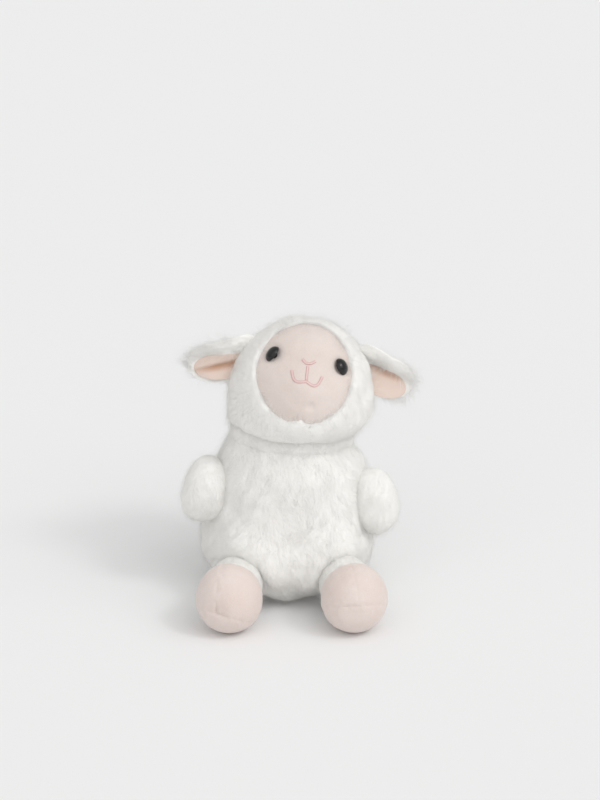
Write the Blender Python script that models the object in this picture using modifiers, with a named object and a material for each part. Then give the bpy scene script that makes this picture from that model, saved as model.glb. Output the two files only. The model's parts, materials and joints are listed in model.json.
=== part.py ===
"""A sitting plush sheep, sewn from long white plush and short pink velboa and stuffed with fibre.

The sheep looks along -Y and sits on the plane Z = 0, and its own left side is at +X.
Lengths are in metres. A share is a part of the size that it is multiplied with.
"""
import math
from collections import namedtuple

import bmesh
import bpy
from mathutils import Matrix, Vector
from mathutils.bvhtree import BVHTree

# Fabrics, fillings and the gaps between sewn pieces
PLUSH_THICKNESS = 0.0030
VELBOA_THICKNESS = 0.0020
SEAM_GAP = 0.0003
FILLING_GAP = 0.0007
JOINT_GAP = 0.0007
FLOOR_SINK = 0.0005
CUT_REACH = 0.4
FILLING_COARSE_SHARE = 1.6
SHARP_ANGLE_DEG = 40.0

# How full each form's two ends are: a lower share is a blunter end
TORSO_FULLNESS_SHARES = (0.5, 0.7)
HEAD_FULLNESS_SHARES = (0.45, 0.95)
LIMB_FULLNESS_SHARES = (0.8, 0.8)
LEG_FULLNESS_SHARES = (1.0, 1.0)
POUCH_FULLNESS_SHARES = (0.7, 0.7)

# Sides around each form and rings along it
TORSO_GRID = (28, 14)
HEAD_GRID = (28, 14)
NECK_GRID = (32, 16)
ARM_GRID = (16, 8)
LEG_GRID = (18, 12)
SMALL_GRID = (14, 8)
FACE_SIDES = 36
EYE_SIDES = 16
WASHER_SIDES = 14
EYE_DOME_STEPS = 6
MOUTH_STEPS = 8

# Torso, a pear with round shoulders
TORSO_HALF_WIDTH = 0.0505
TORSO_HALF_DEPTH = 0.0440
TORSO_HALF_HEIGHT = 0.0540
BASE_SEAM_HEIGHT = 0.0100
SIDE_SEAM_Y = 0.0020
TORSO_SWELL_SHARES = (
    (-1.00, 1.17, 1.17, -0.04, 0.00),
    (-0.78, 1.14, 1.15, -0.04, 0.00),
    (-0.50, 1.08, 1.07, -0.03, -0.01),
    (-0.22, 1.00, 1.00, -0.02, -0.01),
    (0.00, 0.95, 0.97, -0.01, -0.01),
    (0.22, 0.93, 0.96, -0.01, -0.01),
    (0.43, 0.92, 0.95, -0.01, -0.04),
    (0.62, 0.83, 0.92, -0.03, -0.10),
    (0.78, 0.88, 0.98, -0.05, -0.135),
    (1.00, 1.05, 1.10, -0.08, -0.20),
)

# Neck, a stuffed dome over which the head turns and nods. Its rim leans back and rolls with the head.
NECK_RADIUS = 0.0340
NECK_PIVOT_DEPTH = 0.0200
NECK_RIM_X = -0.0008
NECK_RIM_Y = -0.0010
NECK_RIM_DROP = 0.0128
NECK_TILT_DEG = 11.0
NECK_ROLL_DEG = 5.0

# Head, a ball that narrows to the rim of the neck
HEAD_HALF_WIDTH = 0.0410
HEAD_HALF_DEPTH = 0.0395
HEAD_HALF_HEIGHT = 0.0380
HEAD_RISE = 0.0320
HEAD_SHIFT = 0.0073
HEAD_FORWARD = 0.0030
SNOUT_HEIGHT = 0.0035
SNOUT_SPREAD = 0.0190
HEAD_SWELL_SHARES = (
    (-1.00, 1.20, 1.25, -0.10, 0.28),
    (-0.90, 1.15, 1.20, -0.12, 0.165),
    (-0.78, 1.10, 1.16, -0.117, 0.10),
    (-0.62, 1.075, 1.09, -0.068, 0.04),
    (-0.43, 1.07, 1.06, -0.015, 0.00),
    (-0.22, 1.035, 1.03, 0.00, 0.00),
    (0.00, 1.01, 1.01, 0.00, 0.00),
    (0.43, 0.97, 0.99, 0.01, 0.00),
    (0.66, 0.92, 0.95, 0.03, 0.00),
    (0.85, 0.92, 0.95, 0.035, 0.00),
    (1.00, 1.00, 1.00, 0.04, 0.00),
)

# Face panel, laid out on axes that look up and roll with the head
FACE_HALF_WIDTH = 0.0280
FACE_HALF_HEIGHT = 0.0300
FACE_EGG_SHARE = 0.08
FACE_SHIFT = 0.0013
FACE_BLOCK_START = 0.0079
FACE_TILT_DEG = 33.0
FACE_ROLL_DEG = 10.6
LAYOUT_TILT_DEG = 22.0

# Eyes, locked by washers behind the face panel
EYE_HALF_SPACING = 0.0202
EYE_RISE = 0.0140
EYE_SHIFT = 0.0009
EYE_RADIUS = 0.0048
EYE_DOME_HEIGHT = 0.0034
EYE_RIM_HEIGHT = 0.0006
EYE_RIM_UNDERCUT = 0.0004
SHANK_RADIUS = 0.0016
SHANK_LENGTH = 0.0085
SHANK_GAP = 0.0003
SHANK_HOLE_DEPTH = 0.0090
WASHER_RADIUS = 0.0050
WASHER_THICKNESS = 0.0012
WASHER_SET_BACK = 0.0006

# Embroidery in pink thread
THREAD_RADIUS = 0.0005
STITCH_SHIFT = 0.0018
NOSE_HALF_WIDTH = 0.0047
NOSE_TOP_RISE = 0.0152
NOSE_POINT_RISE = 0.0120
MOUTH_RISE = 0.0016
MOUTH_HALF_WIDTH = 0.0094
MOUTH_DEPTH = 0.0066
MOUTH_BOW_SHARE = 0.45
MOUTH_BOW_TURN_DEG = 135.0
STITCH_END_GAP = 0.0014

# Ears, cupped leaves that hinge on a round root
EAR_LENGTH = 0.0300
EAR_HALF_HEIGHT = 0.0112
EAR_HALF_THICKNESS = 0.0030
EAR_CURL = 0.0060
EAR_ROOT_RADIUS = 0.0048
EAR_ROOT_RISE = 0.0108
EAR_ROOT_BACK = 0.0010
LINING_LENGTH = 0.0225
LINING_HALF_HEIGHT = 0.0080
LINING_HALF_THICKNESS = 0.0014
LEFT_EAR_DROOP_DEG = 13.0
RIGHT_EAR_DROOP_DEG = 7.0
EAR_DROOPS_DEG = {"left": LEFT_EAR_DROOP_DEG, "right": RIGHT_EAR_DROOP_DEG}
EAR_SWELL_SHARES = (
    (-1.00, 0.62, 1.15, 0.00, 0.00),
    (-0.60, 0.72, 1.05, 0.00, 0.00),
    (0.00, 0.98, 0.95, 0.00, 0.00),
    (0.50, 1.08, 0.90, 0.00, 0.00),
    (1.00, 1.05, 0.90, 0.00, 0.00),
)

# Arms, short mitts that hang at the shoulders
ARM_HALF_WIDTH = 0.0122
ARM_HALF_DEPTH = 0.0135
ARM_HALF_LENGTH = 0.0190
ARM_OUT = 0.0500
ARM_FORWARD = 0.0150
LEFT_ARM_DROP = 0.0377
RIGHT_ARM_DROP = 0.0297
ARM_DROPS = {"left": LEFT_ARM_DROP, "right": RIGHT_ARM_DROP}
ARM_TILT_DEG = 9.0
ARM_SHOULDER_IN = 0.0100
ARM_SWELL_SHARES = (
    (-1.00, 1.08, 1.08, 0.00, 0.00),
    (-0.40, 1.05, 1.05, 0.00, 0.00),
    (0.30, 0.96, 0.96, 0.00, 0.00),
    (1.00, 0.92, 0.92, 0.00, 0.00),
)

# Legs, which lie on the floor and end in round feet
LEG_HALF_LENGTH = 0.0330
FOOT_RADIUS = 0.0197
FOOT_CENTRE_SHARE = 0.41
HIP_OUT = 0.0270
HIP_Y = -0.0245
LEFT_FOOT_OUT = 0.0375
RIGHT_FOOT_OUT = 0.0350
FOOT_OUTS = {"left": LEFT_FOOT_OUT, "right": RIGHT_FOOT_OUT}
SOLE_HEEL_SHARE = 0.10
SOLE_TILT_DEG = 24.0
ANKLE_SHARE = 0.06
HIP_AXIS_HEIGHT = 0.0370
HIP_AXIS_Y = -0.0350
LEG_SWELL_SHARES = (
    (-1.00, 1.10, 1.10, 0.00, 0.00),
    (-0.50, 0.96, 0.96, 0.00, 0.00),
    (0.00, 0.83, 0.83, 0.00, 0.00),
    (0.15, 0.89, 0.89, 0.00, 0.00),
    (0.41, 1.10, 1.10, 0.00, 0.00),
    (0.80, 1.25, 1.25, 0.00, 0.00),
    (1.00, 1.30, 1.30, 0.00, 0.00),
)

# Tail, which hangs at the back
TAIL_HALF_WIDTH = 0.0095
TAIL_HALF_DEPTH = 0.0075
TAIL_HALF_LENGTH = 0.0130
TAIL_RISE = 0.0330
TAIL_BACK = 0.0470
TAIL_SWELL_SHARES = (
    (-1.00, 1.10, 1.10, 0.00, 0.00),
    (0.00, 1.00, 1.00, 0.00, 0.00),
    (1.00, 0.80, 0.80, 0.00, 0.00),
)

# Bean pouch, low in the torso
POUCH_HALF_WIDTH = 0.0300
POUCH_HALF_DEPTH = 0.0250
POUCH_HALF_HEIGHT = 0.0130
POUCH_RISE = 0.0140
POUCH_THICKNESS = 0.0010
POUCH_SLIT_LENGTH = 0.0160
POUCH_SLIT_WIDTH = 0.0012
ROUND_SHARES = (
    (-1.00, 1.00, 1.00, 0.00, 0.00),
    (1.00, 1.00, 1.00, 0.00, 0.00),
)

SIDES = {"left": 1.0, "right": -1.0}

Form = namedtuple("Form", "name half swell fullness grid place curl snout")

parts = None
cutters = None
sheep = None
materials = {}
cutter_cache = {}


def clear_scene():
    """Removes what the file held, and makes the collections and the root of the model."""
    global parts, cutters, sheep
    for thing in list(bpy.data.objects):
        bpy.data.objects.remove(thing)
    parts = bpy.data.collections.new("plush_sheep")
    cutters = bpy.data.collections.new("cutters")
    for collection in (parts, cutters):
        bpy.context.scene.collection.children.link(collection)
    sheep = bpy.data.objects.new("sheep", None)
    parts.objects.link(sheep)


def make_material(name, colour, roughness, metallic=0.0):
    material = bpy.data.materials.new(name)
    material.use_nodes = True
    shader = material.node_tree.nodes["Principled BSDF"]
    shader.inputs["Base Color"].default_value = (*colour, 1.0)
    shader.inputs["Roughness"].default_value = roughness
    shader.inputs["Metallic"].default_value = metallic
    materials[name] = material


def make_materials():
    make_material("white_plush", (0.85, 0.83, 0.79), 0.95)
    make_material("pink_velboa", (0.83, 0.66, 0.60), 0.90)
    make_material("white_filling", (0.88, 0.88, 0.88), 1.00)
    make_material("black_gloss_plastic", (0.01, 0.01, 0.012), 0.08)
    make_material("white_plastic", (0.80, 0.80, 0.78), 0.45)
    make_material("pink_thread", (0.72, 0.38, 0.40), 0.60)
    make_material("pouch_cloth", (0.75, 0.74, 0.70), 0.90)
    make_material("clear_beans", (0.70, 0.70, 0.68), 0.50)


def shares_at(table, along):
    """Reads a table of shares at a place along a form, on a smooth curve through its rows."""
    index = 0
    while index < len(table) - 2 and along > table[index + 1][0]:
        index += 1
    low = table[index]
    high = table[index + 1]
    before = table[max(index - 1, 0)]
    after = table[min(index + 2, len(table) - 1)]
    span = high[0] - low[0]
    t = (along - low[0]) / span
    shares = []
    for column in range(1, len(low)):
        leaving = (high[column] - before[column]) / (high[0] - before[0]) * span
        arriving = (after[column] - low[column]) / (after[0] - low[0]) * span
        rise = high[column] - low[column]
        eased = t * t * (3 * rise - 2 * leaving - arriving)
        curved = t * t * t * (leaving + arriving - 2 * rise)
        shares.append(low[column] + t * leaving + eased + curved)
    return shares


def form_mesh(form, grow=0.0, coarse=1.0):
    """Swells and tapers a sphere whose poles are the form's two ends, then moves its skin out by grow."""
    shape = bmesh.new()
    sides, rings = form.grid
    bmesh.ops.create_uvsphere(
        shape, u_segments=int(sides / coarse), v_segments=rings, radius=1.0
    )
    for vert in shape.verts:
        along = max(-1.0, min(1.0, vert.co.z))
        ring = math.hypot(vert.co.x, vert.co.y)
        power = form.fullness[1] if along > 0 else form.fullness[0]
        reach = ring ** power / ring if along * along < 1 and ring > 0 else 0.0
        width, depth, side, fore = shares_at(form.swell, along)
        across = vert.co.x * reach * width
        vert.co = (
            form.half[0] * (across + side),
            form.half[1] * (vert.co.y * reach * depth + fore) - form.curl * across * across,
            form.half[2] * along,
        )
    if form.snout:
        tip, height, spread = form.snout
        for vert in shape.verts:
            near = math.exp(-((vert.co - tip).length / spread) ** 2)
            vert.co += tip.normalized() * height * near
    bmesh.ops.remove_doubles(shape, verts=shape.verts, dist=min(form.half) / 1000)
    bmesh.ops.recalc_face_normals(shape, faces=shape.faces)
    if grow:
        shape.normal_update()
        moves = [vert.normal * grow for vert in shape.verts]
        for vert, move in zip(shape.verts, moves):
            vert.co += move
    shape.transform(form.place)
    return finish_mesh(shape, form.name)


def finish_mesh(shape, name):
    mesh = bpy.data.meshes.new(name)
    shape.to_mesh(mesh)
    shape.free()
    return mesh


def add_cutter(name, mesh):
    """Adds a shape that only cuts others."""
    cutter = bpy.data.objects.new(name, mesh)
    cutters.objects.link(cutter)
    cutter.parent = sheep
    cutter.hide_render = True
    cutter.display_type = "WIRE"
    return cutter


def form_cutter(form, grow):
    """Returns the cutter that has a form's shape, moved out or in by grow."""
    key = (form.name, round(grow / SEAM_GAP, 3))
    if key not in cutter_cache:
        name = f"cut_{form.name}_{len(cutter_cache)}"
        cutter_cache[key] = add_cutter(name, form_mesh(form, grow))
    return cutter_cache[key]


def half_space(name, point, direction):
    """A large block that fills the side of a plane that the direction points to."""
    shape = bmesh.new()
    bmesh.ops.create_cube(shape, size=CUT_REACH)
    shape.transform(Matrix.Translation((0.0, 0.0, CUT_REACH / 2)))
    turn = Vector(direction).normalized().to_track_quat("Z", "Y").to_matrix().to_4x4()
    shape.transform(Matrix.Translation(point) @ turn)
    return add_cutter(name, finish_mesh(shape, name))


def boolean(piece, cutter, operation):
    modifier = piece.modifiers.new(cutter.name, "BOOLEAN")
    modifier.operation = operation
    modifier.solver = "EXACT"
    modifier.object = cutter
    return piece


def keep(piece, *blocks):
    for block in blocks:
        boolean(piece, block, "INTERSECT")
    return piece


def cut(piece, *shapes):
    for shape in shapes:
        boolean(piece, shape, "DIFFERENCE")
    return piece


def add_piece(name, mesh, material, pivot):
    """Adds a sub-part whose origin is its pivot."""
    mesh.transform(Matrix.Translation(pivot.location).inverted())
    mesh.shade_smooth()
    mesh.set_sharp_from_angle(angle=math.radians(SHARP_ANGLE_DEG))
    mesh.materials.append(materials[material])
    piece = bpy.data.objects.new(name, mesh)
    parts.objects.link(piece)
    piece.parent = pivot
    return piece


def add_pivot(name, point):
    """An empty on a joint's axis, which carries the pieces that move about it."""
    pivot = bpy.data.objects.new(name, None)
    parts.objects.link(pivot)
    pivot.location = point
    pivot.parent = sheep
    return pivot


def sewn_panel(name, form, thickness, material, pivot, blocks, cuts):
    """A panel of fabric: the part of a form's skin that lies inside the blocks."""
    piece = add_piece(name, form_mesh(form), material, pivot)
    keep(piece, *blocks)
    cut(piece, form_cutter(form, -thickness))
    return cut(piece, *cuts)


def filling(name, form, thickness, pivot, cuts):
    """The stuffing inside a form's skin."""
    mesh = form_mesh(form, -(thickness + FILLING_GAP), coarse=FILLING_COARSE_SHARE)
    return cut(add_piece(name, mesh, "white_filling", pivot), *cuts)


# Forms and their places
def torso_form():
    half = (TORSO_HALF_WIDTH, TORSO_HALF_DEPTH, TORSO_HALF_HEIGHT)
    place = Matrix.Translation((0.0, 0.0, TORSO_HALF_HEIGHT - FLOOR_SINK))
    return Form(
        "torso", half, TORSO_SWELL_SHARES, TORSO_FULLNESS_SHARES, TORSO_GRID, place, 0.0, None
    )


def neck_axes():
    """The neck's level axis, about which the head nods, and its upright axis, about which it turns."""
    tilt = math.radians(NECK_TILT_DEG)
    roll = math.radians(NECK_ROLL_DEG)
    level = Vector((math.cos(roll), 0.0, -math.sin(roll)))
    upright = Vector((math.sin(roll), 0.0, math.cos(roll)))
    backward = Vector((0.0, 1.0, 0.0))
    return level, upright * math.cos(tilt) + backward * math.sin(tilt)


def neck_rim():
    top = TORSO_HALF_HEIGHT + TORSO_HALF_HEIGHT - FLOOR_SINK
    return Vector((NECK_RIM_X, NECK_RIM_Y, top - NECK_RIM_DROP))


def neck_point():
    """The middle of the neck's dome, about which the head moves."""
    return neck_rim() - neck_axes()[1] * NECK_PIVOT_DEPTH


def head_centre():
    return neck_rim() + Vector((HEAD_SHIFT, -HEAD_FORWARD, HEAD_RISE))


def head_form():
    half = (HEAD_HALF_WIDTH, HEAD_HALF_DEPTH, HEAD_HALF_HEIGHT)
    tilt = math.radians(LAYOUT_TILT_DEG / 2)
    tip = Vector((0.0, -math.cos(tilt), math.sin(tilt))) * HEAD_HALF_DEPTH
    place = Matrix.Translation(head_centre())
    snout = (tip, SNOUT_HEIGHT, SNOUT_SPREAD)
    return Form(
        "head", half, HEAD_SWELL_SHARES, HEAD_FULLNESS_SHARES, HEAD_GRID, place, 0.0, snout
    )


def arm_form(side):
    sign = SIDES[side]
    half = (ARM_HALF_WIDTH, ARM_HALF_DEPTH, ARM_HALF_LENGTH)
    centre = Vector((sign * ARM_OUT, -ARM_FORWARD, neck_rim().z - ARM_DROPS[side]))
    tilt = Matrix.Rotation(math.radians(-sign * ARM_TILT_DEG), 4, "Y")
    place = Matrix.Translation(centre) @ tilt
    return Form(
        f"arm_{side}", half, ARM_SWELL_SHARES, LIMB_FULLNESS_SHARES, ARM_GRID, place, 0.0, None
    )


def leg_frame(side):
    """A leg's frame at the middle of its length, with Z from the hip to the toe and Y up."""
    sign = SIDES[side]
    height = FOOT_RADIUS - FLOOR_SINK
    hip = Vector((sign * HIP_OUT, HIP_Y, height))
    foot_y = HIP_Y - LEG_HALF_LENGTH * (1 + FOOT_CENTRE_SHARE)
    toe = Vector((sign * FOOT_OUTS[side], foot_y, height))
    run = (toe - hip).normalized()
    up = Vector((0.0, 0.0, 1.0))
    turn = Matrix((up.cross(run), up, run)).transposed().to_4x4()
    return Matrix.Translation(hip + run * LEG_HALF_LENGTH) @ turn


def leg_form(side):
    half = (FOOT_RADIUS, FOOT_RADIUS, LEG_HALF_LENGTH)
    return Form(
        f"leg_{side}", half, LEG_SWELL_SHARES, LEG_FULLNESS_SHARES, LEG_GRID, leg_frame(side),
        0.0, None,
    )


def tail_form():
    half = (TAIL_HALF_WIDTH, TAIL_HALF_DEPTH, TAIL_HALF_LENGTH)
    place = Matrix.Translation((0.0, TAIL_BACK, TAIL_RISE))
    return Form(
        "tail", half, TAIL_SWELL_SHARES, LIMB_FULLNESS_SHARES, SMALL_GRID, place, 0.0, None
    )


def pouch_form():
    half = (POUCH_HALF_WIDTH, POUCH_HALF_DEPTH, POUCH_HALF_HEIGHT)
    place = Matrix.Translation((0.0, 0.0, POUCH_RISE))
    return Form(
        "pouch", half, ROUND_SHARES, POUCH_FULLNESS_SHARES, SMALL_GRID, place, 0.0, None
    )


# Face layout
def tilted_axes(tilt_deg):
    """Axes of the face: across to the sheep's left, up, and out of the face."""
    tilt = math.radians(tilt_deg)
    roll = math.radians(FACE_ROLL_DEG)
    out = Vector((0.0, -math.cos(tilt), math.sin(tilt)))
    level = Vector((1.0, 0.0, 0.0))
    upright = out.cross(level)
    across = level * math.cos(roll) - upright * math.sin(roll)
    up = level * math.sin(roll) + upright * math.cos(roll)
    return across, up, out


def head_surface():
    mesh = form_mesh(head_form())
    shape = bmesh.new()
    shape.from_mesh(mesh)
    tree = BVHTree.FromBMesh(shape)
    shape.free()
    bpy.data.meshes.remove(mesh)
    return tree


def on_face(tree, across_length, up_length):
    """The point of the head's skin, and its normal, at a place in the face layout."""
    across, up, out = tilted_axes(LAYOUT_TILT_DEG)
    start = head_centre() + across * across_length + up * up_length + out * CUT_REACH
    point, normal, _, _ = tree.ray_cast(start, -out)
    return point, normal


# Sub-assemblies
def make_torso(pivot, torso):
    seat = half_space("floor_side", (0.0, 0.0, 0.0), (0.0, 0.0, 1.0))
    upright = neck_axes()[1]
    under_neck = half_space("under_neck", neck_rim() - upright * SEAM_GAP * 3, -upright)
    half_gap = SEAM_GAP / 2
    base_low = half_space("base_side", (0, 0, BASE_SEAM_HEIGHT - half_gap), (0, 0, -1))
    base_high = half_space("above_base", (0, 0, BASE_SEAM_HEIGHT + half_gap), (0, 0, 1))
    front = half_space("front_side", (0, SIDE_SEAM_Y - half_gap, 0), (0, -1, 0))
    back = half_space("back_side", (0, SIDE_SEAM_Y + half_gap, 0), (0, 1, 0))
    left = half_space("left_side", (half_gap, 0, 0), (1, 0, 0))
    right = half_space("right_side", (-half_gap, 0, 0), (-1, 0, 0))

    def torso_panel(name, *blocks):
        sewn_panel(name, torso, PLUSH_THICKNESS, "white_plush", pivot, blocks, ())

    torso_panel("torso_base_panel", seat, base_low)
    torso_panel("torso_front_panel", under_neck, base_high, front)
    torso_panel("torso_back_panel_left", under_neck, base_high, back, left)
    torso_panel("torso_back_panel_right", under_neck, base_high, back, right)

    pouch = pouch_form()
    stuffing = filling("torso_stuffing", torso, PLUSH_THICKNESS, pivot, ())
    keep(stuffing, under_neck)
    cut(stuffing, form_cutter(pouch, SEAM_GAP))
    pouch_skin = PLUSH_THICKNESS + FILLING_GAP
    inside_torso = form_cutter(torso, -pouch_skin)
    bean_grow = -(POUCH_THICKNESS + SEAM_GAP)
    hollow = add_cutter("pouch_hollow", form_mesh(pouch, -POUCH_THICKNESS))
    keep(hollow, form_cutter(torso, -pouch_skin - POUCH_THICKNESS))
    slit = bmesh.new()
    bmesh.ops.create_cube(slit, size=1.0)
    slit.transform(Matrix.Diagonal((POUCH_SLIT_LENGTH, POUCH_SLIT_WIDTH, POUCH_HALF_HEIGHT, 1.0)))
    slit.transform(Matrix.Translation((0.0, 0.0, POUCH_RISE + POUCH_HALF_HEIGHT)))
    slit_cutter = add_cutter("pouch_slit", finish_mesh(slit, "pouch_slit"))
    bag = add_piece("bean_pouch", form_mesh(pouch), "pouch_cloth", pivot)
    keep(bag, inside_torso)
    cut(bag, hollow, slit_cutter)
    beans = add_piece("beans", form_mesh(pouch, bean_grow), "clear_beans", pivot)
    keep(beans, form_cutter(torso, -pouch_skin + bean_grow))


def dome_mesh(radius):
    shape = bmesh.new()
    sides, rings = NECK_GRID
    bmesh.ops.create_uvsphere(shape, u_segments=sides, v_segments=rings, radius=radius)
    shape.transform(Matrix.Translation(neck_point()))
    return finish_mesh(shape, "neck_dome")


def make_neck(pivot):
    """The stuffed dome on the torso, and the hollow that it leaves in the head."""
    radius = math.hypot(NECK_RADIUS, NECK_PIVOT_DEPTH)
    upright = neck_axes()[1]
    above = half_space("above_torso", neck_rim() - upright * SEAM_GAP * 2, upright)
    keep(add_piece("neck_stuffing", dome_mesh(radius), "white_filling", pivot), above)
    hollow = add_cutter("neck_hollow", dome_mesh(radius + JOINT_GAP))
    rim = half_space("under_head", neck_rim(), -upright)
    return hollow, rim


def face_outline(name, grow):
    """An egg-shaped block that stands out of the head where the face panel is."""
    shape = bmesh.new()
    bmesh.ops.create_cone(
        shape, cap_ends=True, segments=FACE_SIDES, radius1=1.0, radius2=1.0, depth=1.0
    )
    for vert in shape.verts:
        width = FACE_HALF_WIDTH * (1 - FACE_EGG_SHARE * vert.co.y) + grow
        vert.co.x *= width
        vert.co.y *= FACE_HALF_HEIGHT + grow
        vert.co.z = (vert.co.z + 0.5) * CUT_REACH
    across, up, out = tilted_axes(FACE_TILT_DEG)
    turn = Matrix((across, up, out)).transposed().to_4x4()
    centre = head_centre() + across * FACE_SHIFT + out * FACE_BLOCK_START
    shape.transform(Matrix.Translation(centre) @ turn)
    bmesh.ops.recalc_face_normals(shape, faces=shape.faces)
    return add_cutter(name, finish_mesh(shape, name))


def turned_piece(name, outline, material, pivot, place, steps):
    """A piece turned about its own Z axis from an outline of radius and height."""
    mesh = bpy.data.meshes.new(name)
    points = [(radius, 0.0, height) for radius, height in outline]
    mesh.from_pydata(points, [(i, i + 1) for i in range(len(points) - 1)], [])
    piece = bpy.data.objects.new(name, mesh)
    parts.objects.link(piece)
    piece.parent = pivot
    piece.matrix_local = Matrix.Translation(pivot.location).inverted() @ place
    piece.data.materials.append(materials[material])
    screw = piece.modifiers.new("turned", "SCREW")
    screw.steps = steps
    screw.render_steps = steps
    screw.use_merge_vertices = True
    screw.merge_threshold = SEAM_GAP / 10
    screw.use_smooth_shade = True
    return piece


def eye_outline():
    points = [(0.0, EYE_DOME_HEIGHT)]
    for step in range(1, EYE_DOME_STEPS + 1):
        angle = math.radians(90 * (1 - step / EYE_DOME_STEPS))
        rise = EYE_RIM_HEIGHT + (EYE_DOME_HEIGHT - EYE_RIM_HEIGHT) * math.sin(angle)
        points.append((EYE_RADIUS * math.cos(angle), rise))
    points.append((EYE_RADIUS - EYE_RIM_UNDERCUT, 0.0))
    points.append((SHANK_RADIUS, 0.0))
    points.append((SHANK_RADIUS, -SHANK_LENGTH))
    points.append((0.0, -SHANK_LENGTH))
    return points


def washer_outline():
    inner = SHANK_RADIUS + SHANK_GAP
    return [
        (inner, 0.0), (WASHER_RADIUS, 0.0), (WASHER_RADIUS, -WASHER_THICKNESS),
        (inner, -WASHER_THICKNESS), (inner, 0.0),
    ]


def cylinder_cutter(name, radius, low, high, place):
    shape = bmesh.new()
    bmesh.ops.create_cone(
        shape, cap_ends=True, segments=WASHER_SIDES, radius1=radius, radius2=radius, depth=high - low
    )
    shape.transform(place @ Matrix.Translation((0.0, 0.0, (low + high) / 2)))
    return add_cutter(name, finish_mesh(shape, name))


def make_eye(side, tree, pivot):
    """An eye on its shank and the washer behind it. Returns what they cut out of panel and stuffing."""
    across = EYE_SHIFT + SIDES[side] * EYE_HALF_SPACING
    point, normal = on_face(tree, across, EYE_RISE)
    turn = normal.to_track_quat("Z", "Y").to_matrix().to_4x4()
    sagging = SEAM_GAP * 2
    place = Matrix.Translation(point + normal * sagging) @ turn
    turned_piece(
        f"eye_{side}", eye_outline(), "black_gloss_plastic", pivot, place, EYE_SIDES
    )
    behind = -(sagging + VELBOA_THICKNESS + WASHER_SET_BACK)
    seat = place @ Matrix.Translation((0.0, 0.0, behind))
    turned_piece(
        f"eye_washer_{side}", washer_outline(), "white_plastic", pivot, seat, WASHER_SIDES
    )
    shank_hole = cylinder_cutter(
        f"shank_hole_{side}", SHANK_RADIUS + SHANK_GAP, -SHANK_HOLE_DEPTH, EYE_RADIUS, place
    )
    depth = SHANK_LENGTH + SHANK_GAP
    pocket = cylinder_cutter(
        f"washer_pocket_{side}", WASHER_RADIUS + SHANK_GAP, -depth, EYE_RADIUS, place
    )
    return shank_hole, pocket


def make_thread(name, tree, route, pivot):
    """A thread laid on the face along a route of places in the face layout."""
    points = []
    for (a, b), (c, d) in zip(route, route[1:]):
        count = max(1, math.ceil(math.hypot(c - a, d - b) / (4 * THREAD_RADIUS)))
        for step in range(count):
            points.append((a + (c - a) * step / count, b + (d - b) * step / count))
    points.append(route[-1])
    curve = bpy.data.curves.new(name, "CURVE")
    curve.dimensions = "3D"
    curve.bevel_depth = THREAD_RADIUS
    curve.bevel_resolution = 1
    curve.use_fill_caps = True
    spline = curve.splines.new("POLY")
    spline.points.add(len(points) - 1)
    for slot, (across, up) in zip(spline.points, points):
        point, normal = on_face(tree, across, up)
        place = point + normal * (THREAD_RADIUS + SEAM_GAP) - pivot.location
        slot.co = (*place, 1.0)
    curve.materials.append(materials["pink_thread"])
    piece = bpy.data.objects.new(name, curve)
    parts.objects.link(piece)
    piece.parent = pivot


def make_embroidery(tree, pivot):
    """A spread nose, an upright stitch under it and a mouth of two bows."""
    middle = STITCH_SHIFT + EYE_SHIFT
    nose = [
        (middle - NOSE_HALF_WIDTH, NOSE_TOP_RISE),
        (middle, NOSE_POINT_RISE),
        (middle + NOSE_HALF_WIDTH, NOSE_TOP_RISE),
    ]
    make_thread("nose_stitch", tree, nose, pivot)
    lip = [(middle, NOSE_POINT_RISE - STITCH_END_GAP), (middle, MOUTH_RISE + STITCH_END_GAP)]
    make_thread("lip_stitch", tree, lip, pivot)
    mouth = []
    turn = math.radians(MOUTH_BOW_TURN_DEG)
    for step in range(-MOUTH_STEPS, MOUTH_STEPS + 1):
        share = step / MOUTH_STEPS
        bow = math.sin(abs(share) * turn) * MOUTH_BOW_SHARE
        lift = abs(share) ** 4
        mouth.append((
            middle + share * MOUTH_HALF_WIDTH,
            MOUTH_RISE + MOUTH_DEPTH * (lift - bow),
        ))
    make_thread("mouth_stitch", tree, mouth, pivot)


def make_head(pivot, head, neck_cuts):
    half_gap = SEAM_GAP / 2
    middle = head_centre()
    left = half_space("head_left_side", middle + Vector((half_gap, 0, 0)), (1, 0, 0))
    right = half_space("head_right_side", middle - Vector((half_gap, 0, 0)), (-1, 0, 0))
    face_hole = face_outline("face_hole", half_gap)
    face_block = face_outline("face_block", -half_gap)
    tree = head_surface()
    for side, block in (("left", left), ("right", right)):
        name = f"head_panel_{side}"
        cuts = (face_hole, *neck_cuts)
        sewn_panel(name, head, PLUSH_THICKNESS, "white_plush", pivot, (block,), cuts)
    holes = []
    pockets = []
    for side in SIDES:
        hole, pocket = make_eye(side, tree, pivot)
        holes.append(hole)
        pockets.append(pocket)
    sewn_panel(
        "face_panel", head, VELBOA_THICKNESS, "pink_velboa", pivot, (face_block,),
        (*neck_cuts, *holes),
    )
    filling("head_stuffing", head, PLUSH_THICKNESS, pivot, (*neck_cuts, *pockets))
    make_embroidery(tree, pivot)


def ear_place(side):
    """The ear's frame at its hinge, with Z along the ear, X up across it and Y to its back."""
    sign = SIDES[side]
    level = neck_axes()[0]
    backward = Vector((0.0, 1.0, 0.0))
    upright = level.cross(backward)
    start = head_centre() + upright * EAR_ROOT_RISE + Vector((0.0, EAR_ROOT_BACK, 0.0))
    point, normal, _, _ = head_surface().ray_cast(start + level * sign * CUT_REACH, -level * sign)
    hinge = point + normal * (EAR_ROOT_RADIUS + SEAM_GAP)
    droop = math.radians(EAR_DROOPS_DEG[side])
    run = level * sign * math.cos(droop) - upright * math.sin(droop)
    rise = backward.cross(run)
    return hinge, Matrix((rise, backward, run)).transposed().to_4x4()


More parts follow.
